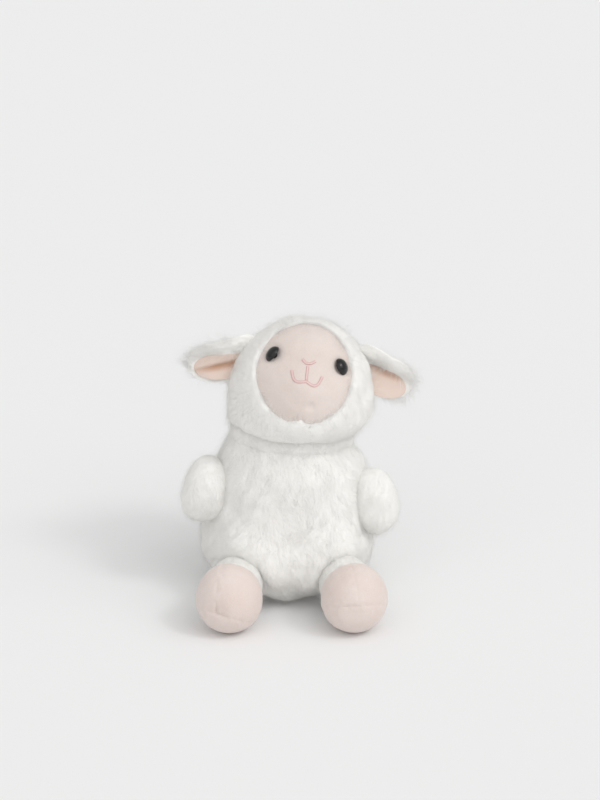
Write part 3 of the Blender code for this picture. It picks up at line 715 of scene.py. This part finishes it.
pile(
    "torso_pile_base", torso_cover, "torso", 1.6, 0.0050, base_lay, base_zone, 0.25, 9,
    node="torso_base_panel",
)

# %% [markdown]
# ## Head
# The head is a ball with a soft point for the snout. Its plush leaves an egg-shaped opening for the face.
# A cut would leave a thin open edge, so the skin stays whole and sinks below the face instead, and its
# pile falls over the edge as a fringe.

# %% The face's outline
HEAD_NODES = ["head_panel_left", "head_panel_right", "face_panel", "head_stuffing"]
HEAD_MIDDLE = Vector((0.0, 0.0135, 0.1265))
FACE_TILT = math.radians(33)
FACE_ROLL = math.radians(10.6)


def face_axes(tilt):
    """Across to the sheep's left, up, and out of the face."""
    out = Vector((0.0, -math.cos(tilt), math.sin(tilt)))
    level = Vector((1.0, 0.0, 0.0))
    upright = out.cross(level)
    across = level * math.cos(FACE_ROLL) - upright * math.sin(FACE_ROLL)
    up = level * math.sin(FACE_ROLL) + upright * math.cos(FACE_ROLL)
    return across, up, out


face_across, face_up, face_out = face_axes(FACE_TILT)
FACE_MIDDLE = Vector((0.0015, 0.0125, 0.1282))
FACE_HALF = (0.0280, 0.0308)
FACE_TAPER = 0.08
DART_ANGLE = math.radians(-84)
CHEEK_ANGLE = math.radians(-146)


def turned(angle, width):
    """Like bell, for the difference between two angles."""
    return np.exp(-(((angle + np.pi) % (2 * np.pi) - np.pi) / width) ** 2)


def face_radius(angle):
    """The outline's size in one direction, as a share: flatter cheeks below, and a dart at the chin."""
    return 1.0 - 0.045 * turned(angle - DART_ANGLE, 0.075) - 0.065 * turned(angle - CHEEK_ANGLE, 0.60)


def face_edge(places):
    """How far outside the face's outline each place is, as a share: below 0 is inside."""
    up = reach(places, FACE_MIDDLE, face_up)
    x = reach(places, FACE_MIDDLE, face_across) / (FACE_HALF[0] * (1 - FACE_TAPER * up / FACE_HALF[1]))
    y = up / FACE_HALF[1]
    share = np.hypot(x, y) / face_radius(np.arctan2(y, x)) - 1
    return np.where(reach(places, FACE_MIDDLE, face_out) < 0, 1.0, share)


print("face outline:", FACE_HALF)

# %% Head skin
LIP_SWELL = 0.0026
EDGE_RIDGE = 0.0006
FACE_SINK = 0.0038


def head_shape():
    """The whole head's skin. The plush and the face panel are both made from it."""
    return wrapped(HEAD_NODES, HEAD_MIDDLE, 6, 12)


def make_head():
    shape = head_shape()
    edge_away = face_edge(np.array([vert.co for vert in shape.verts])) * FACE_HALF[1]
    shape.normal_update()
    for vert in shape.verts:
        vert.co += neck_up * (LIP_SWELL * max(0.0, -vert.normal.dot(neck_up)))
    coated(shape, 0.0014)
    shape.normal_update()
    for vert, away in zip(shape.verts, edge_away):
        ridge = EDGE_RIDGE * math.exp(-max(away, 0.0) / 0.0060)
        sunk = clamp((0.0006 - away) / 0.0030)
        sunk = sunk * sunk * (3 - 2 * sunk)
        vert.co += vert.normal * (ridge - (FACE_SINK + ridge) * sunk)
    return plush(shape, "head_cover", "head", 0.85, "head_stuffing")


head_cover = make_head()

# %% Head pile and fringes


def neck_side(places):
    """False under the head, where it covers the neck."""
    away = np.linalg.norm(places - np.array(neck_pivot), axis=1)
    return (away > 0.0385) & (reach(places, neck_pivot, neck_up) > 0.0120)


def head_lay(places, normals):
    """From the crown down and away from the face."""
    way = places - np.array(FACE_MIDDLE)
    way = unit(way - np.outer(way @ np.array(face_out), np.array(face_out)))
    way[:, 2] -= 0.9
    way[:, 1] += 0.4
    return way


def head_side(side):
    def inside(places, normals):
        half = places[:, 0] > 0.0 if side == "left" else places[:, 0] <= 0.0
        return half & (face_edge(places) > -0.02) & neck_side(places)
    return inside


for side in SIDES:
    pile(
        f"head_pile_{side}", head_cover, "head", 1.2, 0.0060, head_lay, head_side(side), seed=21,
        node=f"head_panel_{side}",
    )


def fringe_zone(places, normals):
    away = face_edge(places) * FACE_HALF[1]
    return (away > -0.0006) & (away < 0.0022)


def fringe_lay(places, normals):
    """Over the edge, towards the face's middle."""
    return unit(np.array(FACE_MIDDLE) + np.array(face_out) * 0.024 - places)


def brow_zone(places, normals):
    """Over the forehead, where the plush hides the panel's edge."""
    return fringe_zone(places, normals) & (reach(places, FACE_MIDDLE, face_up) > 0.0200)


pile("face_fringe", head_cover, "head", 6.0, 0.0040, fringe_lay, fringe_zone, 0.30, 25, 0.9)
pile("brow_fringe", head_cover, "head", 4.0, 0.0060, fringe_lay, brow_zone, 0.30, 26, 0.9)

# %% [markdown]
# ## Neck
# The skins of head and torso are sewn together in a soft fold, which shows as a groove. A stiff filling
# would open a slot when the head nods. The ring of plush in it rides on no body: its lower edge is shaped
# to the torso's skin and its upper edge to the head's.

# %% Neck
NECK_RADIUS = 0.0390
NECK_TOP = 0.0185
GROOVE_LOW = 0.0150
GROOVE_LIMIT = 0.030
PLAIN_RADIUS = 0.036
RING_STEPS = 120
RING_SIDES = 20
RING_OVERLAP = 0.0030
RING_HALF_DEPTH = 0.0035
RING_STAND = 0.0003
RING_SINK = 0.0012


def make_neck():
    shape = bmesh.new()
    bmesh.ops.create_icosphere(shape, subdivisions=5, radius=NECK_RADIUS)
    shape.transform(Matrix.Translation(neck_pivot))
    cut = neck_pivot + neck_up * NECK_TOP
    geometry = shape.verts[:] + shape.edges[:] + shape.faces[:]
    bmesh.ops.bisect_plane(shape, geom=geometry, plane_co=cut, plane_no=-neck_up, clear_outer=True)
    bmesh.ops.holes_fill(shape, edges=[edge for edge in shape.edges if edge.is_boundary], sides=0)
    return plush(shape, "neck_cover", "neck", 0.9, "neck_stuffing")


def skin_radius(tree, way, height):
    """How far from the neck's axis a skin is at a height, or nothing."""
    level = neck_pivot + neck_up * height
    hit = tree.ray_cast(level + way * 0.1, -way)[0]
    if hit and (hit - level).dot(way) > 0.030:
        return (hit - level).dot(way)
    return None

def groove(way, torso, head):
    """In one direction, the torso's and the head's radius at the groove's edges, and its upper height."""
    high = GROOVE_LOW
    radius = None
    while radius is None and high < GROOVE_LIMIT:
        high += 0.0005
        radius = skin_radius(head, way, high)
    return skin_radius(torso, way, GROOVE_LOW) or PLAIN_RADIUS, radius or PLAIN_RADIUS, high


def make_ring():
    graph = bpy.context.evaluated_depsgraph_get()
    torso = BVHTree.FromObject(torso_cover, graph)
    head = BVHTree.FromObject(head_cover, graph)
    front = (AHEAD - neck_up * AHEAD.dot(neck_up)).normalized()
    aside = neck_up.cross(front)
    shape = bmesh.new()
    rings = []
    for step in range(RING_STEPS):
        angle = math.tau * step / RING_STEPS
        way = front * math.cos(angle) + aside * math.sin(angle)
        torso_radius, head_radius, high = groove(way, torso, head)
        bottom, top = GROOVE_LOW - RING_OVERLAP, high + RING_OVERLAP
        ring = []
        for side in range(RING_SIDES):
            turn = math.tau * side / RING_SIDES
            share = (1 + math.sin(turn)) / 2
            outer = torso_radius * (1 - share) + head_radius * share
            outer += RING_STAND * (1 - share) - RING_SINK * share
            far = outer - RING_HALF_DEPTH * (1 - math.cos(turn))
            height = bottom + (top - bottom) * share
            ring.append(shape.verts.new(neck_pivot + way * far + neck_up * height))
        rings.append(ring)
    for index, ring in enumerate(rings):
        following = rings[(index + 1) % RING_STEPS]
        for side in range(RING_SIDES):
            corner = (side + 1) % RING_SIDES
            shape.faces.new((ring[side], following[side], following[corner], ring[corner]))
    bmesh.ops.recalc_face_normals(shape, faces=shape.faces[:])
    smoothed(shape, 4)
    coated(shape, 0.0002)
    return plush(shape, "neck_ring", None, 0.5)


make_neck()
neck_ring = make_ring()


def ring_face(places, normals):
    """The ring's outer side."""
    away = places - np.array(neck_pivot)
    away -= np.outer(away @ np.array(neck_up), np.array(neck_up))
    return np.sum(unit(away) * normals, axis=1) > 0.2


neck_pile = pile("neck_pile", neck_ring, None, 1.2, 0.0060, combed(0, 0, -1), ring_face, 0.12, 3, 0.4)
for piece in (neck_ring, neck_pile):
    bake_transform(piece)

# %% [markdown]
# ## Face
# The face is one velboa panel with a dart at the chin. A flat disc is laid on the head's own skin, so
# the two fit, with sockets for the eyes, a muzzle and the dart's gathers raised in it. Its edge is tucked
# under the plush.

# %% Face panel
layout_across, layout_up, layout_out = face_axes(math.radians(22))
LAYOUT_MIDDLE = Vector((0.0, 0.0135, 0.1267))
EYE_ACROSS = {"left": 0.0211, "right": -0.0193}
EYE_UP = 0.0140
FACE_TUCK = 0.0015


def on_layout(across, up, out=0.0290):
    return LAYOUT_MIDDLE + layout_across * across + layout_up * up + layout_out * out


def bump_beside(point, across, up, radius):
    """Like bump_at, measured on the flat layout."""
    away = point - LAYOUT_MIDDLE
    return hill(math.hypot(away.dot(layout_across) - across, away.dot(layout_up) - up) / radius)


def face_relief(point):
    """Eye sockets, a soft muzzle, a dimple under the mouth and the gathers at the chin's dart."""
    height = 0.0012 * bump_beside(point, 0.0027, 0.0010, 0.0150)
    for side in EYE_ACROSS.values():
        height -= 0.0016 * bump_beside(point, side, EYE_UP, 0.0082)
    height -= 0.0009 * bump_beside(point, 0.0080, -0.0120, 0.0038)
    fan = (point - on_layout(0.0022, -0.0300)).dot(layout_across) / 0.0040
    dart = bump_beside(point, 0.0022, -0.0225, 0.0070)
    height -= 0.0009 * dart * abs(math.sin(3.2 * math.atan(fan)))
    return height + 0.0003 * noise.noise(point / 0.0060)

def on_disc(x, y):
    """Turns a place on a square into one on a disc."""
    return x * math.sqrt(1 - y * y / 2), y * math.sqrt(1 - x * x / 2)


def make_face():
    skin = head_shape()
    tree = BVHTree.FromBMesh(skin)
    skin.free()
    shape = bmesh.new()
    bmesh.ops.create_grid(shape, x_segments=110, y_segments=110, size=1.0)
    for vert in shape.verts:
        x, y = on_disc(vert.co.x, vert.co.y)
        size = float(face_radius(np.arctan2(y, x)))
        x, y = x * size, y * size
        width = FACE_HALF[0] * (1 - FACE_TAPER * y) + FACE_TUCK
        start = FACE_MIDDLE + face_across * x * width + face_up * y * (FACE_HALF[1] + FACE_TUCK)
        hit = tree.ray_cast(start + face_out * 0.1, -face_out)[0]
        vert.co = hit if hit else start
    smoothed(shape, 4)
    raised(shape, lambda place: 0.0006)
    raised(shape, face_relief)
    closed_panel(shape, 0.0012)
    return sewn(shape, "face_cover", face_finish, "head", "pink_velboa", None, "face_panel")


face_cover = make_face()

# %% [markdown]
# ## Eyes
# A safety eye is a glossy dome with a fine rim, on a shank that a washer locks inside the head. A scaled
# sphere would have no rim, so the outline is spun about its own axis.

# %% Eyes
EYE_RADIUS = 0.0051
EYE_DOME = 0.0036
EYE_RIM = 0.0006
EYE_STEPS = 48
EYE_TURN_DEG = {"left": 24, "right": -30}


def eye_place(side):
    """The turn that puts an eye made along Z on its seat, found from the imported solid."""
    mesh = frame["nodes"][f"eye_{side}"].data
    places = np.array([vert.co for vert in mesh.vertices])
    middle = places.mean(axis=0)
    _, sizes, axes = np.linalg.svd(places - middle, full_matrices=False)
    odd = 2 if sizes[0] - sizes[1] < sizes[1] - sizes[2] else 0
    axis = axes[odd] * np.sign(axes[odd] @ np.array(face_out))
    top = Vector(middle + axis * ((places - middle) @ axis).max())
    axis = Vector(axis)
    seat = top - axis * (EYE_DOME + 0.0012)
    outwards = math.radians(EYE_TURN_DEG[side])
    axis.rotate(Matrix.Rotation(outwards, 3, layout_up))
    turn = axis.to_track_quat("Z", "Y").to_matrix().to_4x4()
    return Matrix.Translation(seat) @ turn


def make_eye(side):
    shape = bmesh.new()
    outline = [(0.0, -0.0030), (0.0018, -0.0030), (0.0018, -0.0002), (EYE_RADIUS - 0.0005, -0.0002)]
    outline += [(EYE_RADIUS, 0.0001), (EYE_RADIUS, EYE_RIM)]
    for step in range(1, 17):
        angle = math.radians(90 * step / 16)
        rise = EYE_RIM + (EYE_DOME - EYE_RIM) * math.sin(angle)
        outline.append(((EYE_RADIUS - 0.0002) * math.cos(angle), rise))
    outline[-1] = (0.0, EYE_DOME)
    verts = [shape.verts.new((radius, 0.0, height)) for radius, height in outline]
    edges = [shape.edges.new(pair) for pair in zip(verts, verts[1:])]
    bmesh.ops.spin(
        shape, geom=verts + edges, cent=(0, 0, 0), axis=(0, 0, 1), angle=math.radians(360),
        steps=EYE_STEPS, use_merge=True,
    )
    bmesh.ops.remove_doubles(shape, verts=shape.verts[:], dist=0.000002)
    bmesh.ops.recalc_face_normals(shape, faces=shape.faces[:])
    shape.transform(eye_place(side))
    sewn(shape, f"glossy_eye_{side}", eye_finish, "head", "black_gloss_plastic", None, f"eye_{side}")


for side in SIDES:
    make_eye(side)
    frame["nodes"][f"eye_washer_{side}"].data.materials.clear()
    frame["nodes"][f"eye_washer_{side}"].data.materials.append(washer_finish)

# %% [markdown]
# ## Embroidery
# The nose, lip and mouth are narrow bands of pale satin stitch between two darker rows. A drawn image
# would have no thickness, so every row is a thread, drawn on a flat layout and laid on the face.

# %% Threads
STITCH_MIDDLE = 0.0027
THREAD_SIDES = 8
THREAD_STEP = 0.0003
THREAD_TAPER = 0.0008
THREAD_SINK = 0.0006
THREAD_TURN = 0.0012
# Each row: its offset from the route, its thickness and its tone. The two outer rows are thin and darker.
ROWS = [(-0.00062, 0.00017, 0.0), (0.00062, 0.00017, 0.0), (-0.0002, 0.00036, 1.0), (0.0002, 0.00036, 1.0)]
face_tree = BVHTree.FromObject(face_cover, bpy.context.evaluated_depsgraph_get())


def on_face(across, up):
    start = LAYOUT_MIDDLE + layout_across * across + layout_up * up + layout_out * 0.1
    hit, normal, _, _ = face_tree.ray_cast(start, -layout_out)
    return hit, normal


def fine_route(route):
    """The route with a point at every step."""
    points = []
    for (a, b), (c, d) in zip(route, route[1:]):
        count = max(1, round(math.hypot(c - a, d - b) / THREAD_STEP))
        points += [(a + (c - a) * i / count, b + (d - b) * i / count) for i in range(count)]
    return points + [route[-1]]


def thread(shape, along_layer, tone_layer, route, row):
    """A round thread on the face, beside the route."""
    offset, thick, tone = row
    points = fine_route(route)
    rings = []
    length = 0.0
    for index, (across, up) in enumerate(points):
        before = points[max(index - 1, 0)]
        after = points[min(index + 1, len(points) - 1)]
        way = Vector((after[0] - before[0], after[1] - before[1])).normalized()
        across, up = across - way.y * offset, up + way.x * offset
        place, normal = on_face(across, up)
        along = layout_across * way.x + layout_up * way.y
        along = (along - normal * along.dot(normal)).normalized()
        side = normal.cross(along)
        end = min(index, len(points) - 1 - index) * THREAD_STEP
        radius = thick * min(1.0, 0.35 + end / THREAD_TAPER)
        sink = THREAD_SINK * max(0.0, 1.0 - end / THREAD_TAPER)
        centre = place + normal * (0.00012 - thick * 0.1 - sink)
        ring = []
        for turn in range(THREAD_SIDES):
            angle = math.tau * turn / THREAD_SIDES
            spoke = side * math.cos(angle) + normal * math.sin(angle)
            vert = shape.verts.new(centre + spoke * radius)
            vert[tone_layer] = tone
            ring.append(vert)
        rings.append((ring, length))
        length += THREAD_STEP
    for (ring, start), (following, stop) in zip(rings, rings[1:]):
        for turn in range(THREAD_SIDES):
            corner = (turn + 1) % THREAD_SIDES
            face = shape.faces.new((ring[turn], ring[corner], following[corner], following[turn]))
            spots = ((start, turn), (start, turn + 1), (stop, turn + 1), (stop, turn))
            for loop, (far, share) in zip(face.loops, spots):
                loop[along_layer].uv = (far / THREAD_TURN, share / THREAD_SIDES)
    shape.faces.new(list(reversed(rings[0][0])))
    shape.faces.new(rings[-1][0])


def stitches(name, routes, node):
    """Each route is a band of pale satin stitch between two thinner, darker rows of thread."""
    shape = bmesh.new()
    along_layer = shape.loops.layers.uv.new("along")
    tone_layer = shape.verts.layers.float.new("tone")
    for route in routes:
        for row in ROWS:
            thread(shape, along_layer, tone_layer, route, row)
    bmesh.ops.recalc_face_normals(shape, faces=shape.faces[:])
    sewn(shape, name, thread_finish, "head", "pink_thread", None, node)
print("threads:", len(ROWS), "in each band")

# %% Nose, lip and mouth
def mouth_route():
    route = []
    for step in range(-24, 25):
        share = step / 24
        half, dip = (0.0094, 0.0013) if share < 0 else (0.0086, 0.0019)
        bow = dip * math.sin(abs(share) * math.radians(135))
        route.append((STITCH_MIDDLE + share * half, 0.0017 + 0.0064 * share ** 6 - bow))
    return route


nose_route = [(-0.0023, 0.0142), (0.0006, 0.0119), (0.0033, 0.0121), (0.0062, 0.0143)]
stitches("nose_threads", [nose_route], "nose_stitch")
stitches("lip_threads", [[(0.0019, 0.0112), (0.0026, 0.0020)]], "lip_stitch")
stitches("mouth_threads", [mouth_route()], "mouth_stitch")

# %% [markdown]
# ## Ears
# An ear is two layers turned out like a mitten, plush behind and velboa in front, and folded lengthwise
# at the root, so that it is cupped. One function bends both layers, which keeps them together. The upper
# half of the root runs on into the head.

# %% The ear's form
EAR_LENGTHS = {"left": 0.0332, "right": 0.0357}
EAR_START = -0.0107
EAR_HALF_HEIGHT = 0.0122
EAR_DROOP = {"left": 13.0, "right": 7.0}
EAR_DROP = 0.0034
EAR_FOLD = {"left": (0.20, -0.10), "right": (-0.24, -0.18)}
ROOT_IN = 0.0090
ROOT_UP = 0.0030
ROOT_BACK = 0.0090
LEVEL = Vector((0.99619, 0.0, -0.08716))
UPRIGHT = Vector((0.08716, 0.0, 0.99619))


def ear_axes(side):
    """The hinge, the way to the tip and the way up. The head leans by 5 degrees, and so does the ear."""
    level = LEVEL if side == "left" else -LEVEL
    droop = math.radians(EAR_DROOP[side])
    run = level * math.cos(droop) - UPRIGHT * math.sin(droop)
    up = UPRIGHT * math.cos(droop) + level * math.sin(droop)
    return Vector(joints[f"ear_flap_{side}"]["pos_m"]), run, up


def ear_fold(side, x, y):
    """1 in the crease that runs from the root to the tip, and 0 beside it."""
    middle, slope = EAR_FOLD[side]
    return bell(y - middle - slope * x, 0.17 - 0.05 * x) * clamp(1.1 - x)


def ear_cup(side, x, y):
    """How far forward the ear's middle sheet lies. x runs from root -1 to tip 1, y from bottom to top."""
    rolled = 0.0034 * max(0.0, y) ** 2 + 0.0042 * max(0.0, -y) ** 2.2
    return rolled - 0.0024 * ear_fold(side, x, y)


def ear_point(side, x, y, forward):
    hinge, run, up = ear_axes(side)
    above, inward = max(0.0, y), max(0.0, -x)
    along = EAR_START + EAR_LENGTHS[side] * (x + 1) / 2 - ROOT_IN * inward * above
    tall = EAR_HALF_HEIGHT * ((1.04 if y > 0 else 0.94) + 0.06 * x)
    root = 2.6 * inward * math.sqrt(max(0.0, 1 + x)) * above
    height = tall * y + 0.0010 * (1 - x) + ROOT_UP * root - EAR_DROP
    forward += ear_cup(side, x, y) - ROOT_BACK * inward ** 2 * above
    return hinge + run * along + up * height + AHEAD * forward


def wide_root(x, y):
    """Widens a disc at its root, where x is -1."""
    if x > 0 or x < -0.9999:
        return y
    return y * math.sqrt((1 - x ** 6) / (1 - x * x))
print("ear lengths:", EAR_LENGTHS)

# %% Ears
LINING_DROP = {"left": 0.12, "right": 0.0}


def make_ear_back(side):
    shape = bmesh.new()
    bmesh.ops.create_icosphere(shape, subdivisions=6, radius=1.0)
    for vert in shape.verts:
        x, y, z = vert.co
        y = wide_root(x, y)
        roll = 0.0016 * bell(y - 0.72, 0.30)
        vert.co = ear_point(side, x, y, z * (0.0006 + roll if z > 0 else 0.0034))
    smoothed(shape, 2)
    if side == "right":
        bmesh.ops.reverse_faces(shape, faces=shape.faces[:])
    coated(shape, 0.0004, 0, 0.7)
    return plush(shape, f"ear_plush_{side}", f"ear_{side}", 0.3, f"ear_back_{side}")


def make_ear_lining(side):
    shape = bmesh.new()
    bmesh.ops.create_grid(shape, x_segments=90, y_segments=90, size=1.0)
    layer = shape.verts.layers.float.new("tone")
    for vert in shape.verts:
        disc_x, disc_y = on_disc(vert.co.x, vert.co.y)
        x = disc_x * 0.84 - 0.02
        y = wide_root(disc_x, disc_y) * 0.64 - 0.24 + 0.05 * disc_x - LINING_DROP[side]
        lift = 0.0012 * math.sqrt(max(0.0, 1 - disc_x ** 2 - disc_y ** 2)) + 0.0012
        vert.co = ear_point(side, x, y, lift)
        # The tone paints shade along the fold: low in the crease, high beside it.
        vert[layer] = 1 - 0.9 * ear_fold(side, x, y)
    if side == "right":
        bmesh.ops.reverse_faces(shape, faces=shape.faces[:])
    closed_panel(shape, 0.0010)
    body = f"ear_{side}"
    sewn(shape, f"ear_velboa_{side}", ear_finish, body, "pink_velboa", None, f"ear_lining_{side}")


def ear_coat(side, shell):
    """Pile on the ear's back and round its edge, combed to the tip."""
    hinge, run, up = ear_axes(side)

    def rim(places, normals):
        x = (reach(places, hinge, run) - EAR_START) / EAR_LENGTHS[side] * 2 - 1
        y = (reach(places, hinge, up) + EAR_DROP) / EAR_HALF_HEIGHT
        open_front = (normals[:, 1] < -0.2) & (np.hypot((x + 0.02) / 0.84, (y + 0.14) / 0.62) < 0.98)
        return ~open_front & (x > -0.7)

    def outward(places, normals):
        way = np.tile(np.array(run), (len(places), 1))
        return way + np.array([0.0, 0.0, -0.2])

    pile(f"ear_pile_{side}", shell, f"ear_{side}", 3.6, 0.0060, outward, rim, 0.34, 31, 0.8)


for side in SIDES:
    shell = make_ear_back(side)
    make_ear_lining(side)
    ear_coat(side, shell)

# %% [markdown]
# ## Arms
# An arm is two plush panels, stuffed softly, with a seam down its side. One skin wraps both, like the
# torso's, and is widened in front towards the body, where a soft arm spreads as it leans on it.

# %% Arms
ARM_SPREAD = {"left": 0.0020, "right": 0.0075}


def make_arm(side):
    nodes = [f"arm_front_panel_{side}", f"arm_back_panel_{side}"]
    middle = middle_of(*nodes)
    shape = wrapped([*nodes, f"arm_stuffing_{side}"], middle, 5, 4)
    inward = -1.0 if side == "left" else 1.0
    for vert in shape.verts:
        beside = max(0.0, (vert.co.x - middle.x) * inward / 0.0120)
        ahead = max(0.0, (middle.y - vert.co.y) / 0.0130)
        vert.co.x += inward * ARM_SPREAD[side] * beside * ahead
    coated(shape, 0.0014, 2, 0.7)
    cover = plush(shape, f"arm_cover_{side}", f"arm_{side}", 0.75, f"arm_stuffing_{side}")
    for half, sign in (("front", -1.0), ("back", 1.0)):
        pile(
            f"arm_pile_{half}_{side}", cover, f"arm_{side}", 1.2, 0.0055, combed(0, 0, -1),
            lambda places, normals: (places[:, 1] - middle.y) * sign > 0, seed=41,
            node=f"arm_{half}_panel_{side}",
        )


for side in SIDES:
    make_arm(side)

# %% [markdown]
# ## Legs and feet
# A leg is a plush sleeve that ends in a ball of velboa. One skin wraps both. Planes cut three panels out
# of it for the foot, drawn in at their seams, which catch the light as real ones do. In the sleeve the
# foot's part of the skin is sunk out of sight.

# %% Foot panels
LEG_HIP = {"left": Vector((0.02052, -0.00698, 0.0192)), "right": Vector((-0.03348, -0.00698, 0.0192))}
FOOT_MIDDLE = {"left": Vector((0.03102, -0.0535, 0.0192)), "right": Vector((-0.04148, -0.0535, 0.0192))}
SOLE_TILT = math.radians(24)
SEAM_ASIDE = {"left": -0.0022, "right": -0.0047}
SOLE_RISE = {"left": 0.0085, "right": 0.0020}
SOLE_ROLL_DEG = {"left": -3.0, "right": -13.0}
FOOT_DENT = {"left": Vector((0.0288, -0.0725, 0.0195)), "right": Vector((-0.0482, -0.0710, 0.0193))}
DENT_RADIUS = 0.0090


def foot_panel(shape, planes, side, name, node):
    """Part of the leg's skin, before some planes. The first is at the ankle and has no seam."""
    part = shape.copy()
    for point, normal in planes:
        geometry = part.verts[:] + part.edges[:] + part.faces[:]
        bmesh.ops.bisect_plane(part, geom=geometry, plane_co=point, plane_no=normal, clear_inner=True)

    def relief(place):
        near = min((place - point).dot(normal) for point, normal in planes[1:])
        dent = bump_at(place, FOOT_DENT[side], DENT_RADIUS)
        seam = (0.00015 + 0.0008 * dent) * max(0.0, 1 - near / 0.0018) ** 2
        pucker = 0.0005 * max(0.0, 1 - near / 0.0070) * noise.noise(place / 0.0028)
        return pucker - seam - 0.0011 * dent

    raised(part, relief)
    closed_panel(part, 0.0010, True)
    sewn(part, f"{name}_{side}", foot_finish, f"leg_{side}", "pink_velboa", None, f"{node}_{side}")


def foot_planes(side, ankle, run):
    """Each panel's name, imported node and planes, as places and normals."""
    sole = -(UP * math.cos(SOLE_TILT) - run * math.sin(SOLE_TILT))
    sole.rotate(Matrix.Rotation(math.radians(SOLE_ROLL_DEG[side]), 3, run))
    low = ankle - UP * (0.0177 - SOLE_RISE[side])
    middle = ankle + Vector((SEAM_ASIDE[side], 0.0, 0.0))
    across = run.cross(UP).normalized()
    inner = across if side == "right" else -across
    ends = (ankle, run)
    return (
        ("foot_inner", "foot_inner_panel", (ends, (middle, inner), (low, -sole))),
        ("foot_outer", "foot_outer_panel", (ends, (middle, -inner), (low, -sole))),
        ("foot_under", "foot_sole", (ends, (low, sole))),
    )


print("foot seams:", SEAM_ASIDE)

# %% Legs
LEG_PANELS = ["leg_sleeve", "leg_stuffing", "foot_inner_panel", "foot_outer_panel", "foot_sole"]
ANKLE_AT = 0.0350
LEG_MIDDLE_AT = 0.0300


def make_leg(side):
    hip, foot = LEG_HIP[side], FOOT_MIDDLE[side]
    run = (foot - hip).normalized()
    ankle = hip + run * ANKLE_AT
    named = [f"{panel}_{side}" for panel in LEG_PANELS]
    shape = wrapped(named, hip + run * LEG_MIDDLE_AT, 6, 6, named[0])
    for vert in shape.verts:
        past = clamp((vert.co - ankle).dot(run) / 0.0080)
        vert.co.z += 0.0026 * past * max(0.0, (vert.co.z - foot.z) / 0.0198)
    for name, node, planes in foot_planes(side, ankle, run):
        foot_panel(shape, planes, side, name, node)
    coated(shape, -0.0002, 1, 0.6)
    shape.normal_update()
    for vert in shape.verts:
        past = (vert.co - ankle).dot(run)
        vert.co -= vert.normal * 0.0038 * clamp(past / 0.0024 + 0.25)
        along = hip + run * (vert.co - hip).dot(run)
        vert.co = along + (vert.co - along) * (1 - 0.12 * clamp((-past - 0.0020) / 0.0180))
    cover = plush(shape, f"leg_cover_{side}", f"leg_{side}", 0.8, f"leg_stuffing_{side}")

    def sleeve(places, normals):
        past = reach(places, ankle, run)
        return (past < -0.0005) & (past > -0.0330)

    pile(
        f"leg_pile_{side}", cover, f"leg_{side}", 1.8, 0.0055, combed(*(run - UP * 0.4)), sleeve,
        seed=51, node=f"leg_sleeve_{side}",
    )


for side in SIDES:
    make_leg(side)

# %% [markdown]
# ## Tail, pouch and beans
# The tail is a short stuffed tube. The pouch of beans lies low in the torso and keeps the toy upright.
# Single beans would never be seen, so one lumpy skin stands for them.

# %% Tail and inner pieces


def ball(nodes, fineness):
    return wrapped(nodes, middle_of(*nodes), fineness, 3)


tail = ball(["tail_cover", "tail_stuffing"], 5)
coated(tail, 0.0012)
tail_skin = plush(tail, "tail_skin", "tail", 0.7, "tail_stuffing")
pile(
    "tail_pile", tail_skin, "tail", 1.8, 0.0055, combed(0, 0.3, -1),
    lambda places, normals: places[:, 1] > 0.0610, 0.2, 61, node="tail_cover",
)
pouch = ball(["bean_pouch"], 4)
sewn(pouch, "pouch_cloth", cloth_finish, "torso", "pouch_cloth", 0.7, "bean_pouch")
beans = ball(["beans"], 5)
lumpy(beans, 0.0006, 0.0040)
sewn(beans, "bean_fill", bean_finish, "torso", "clear_beans", None, "beans")
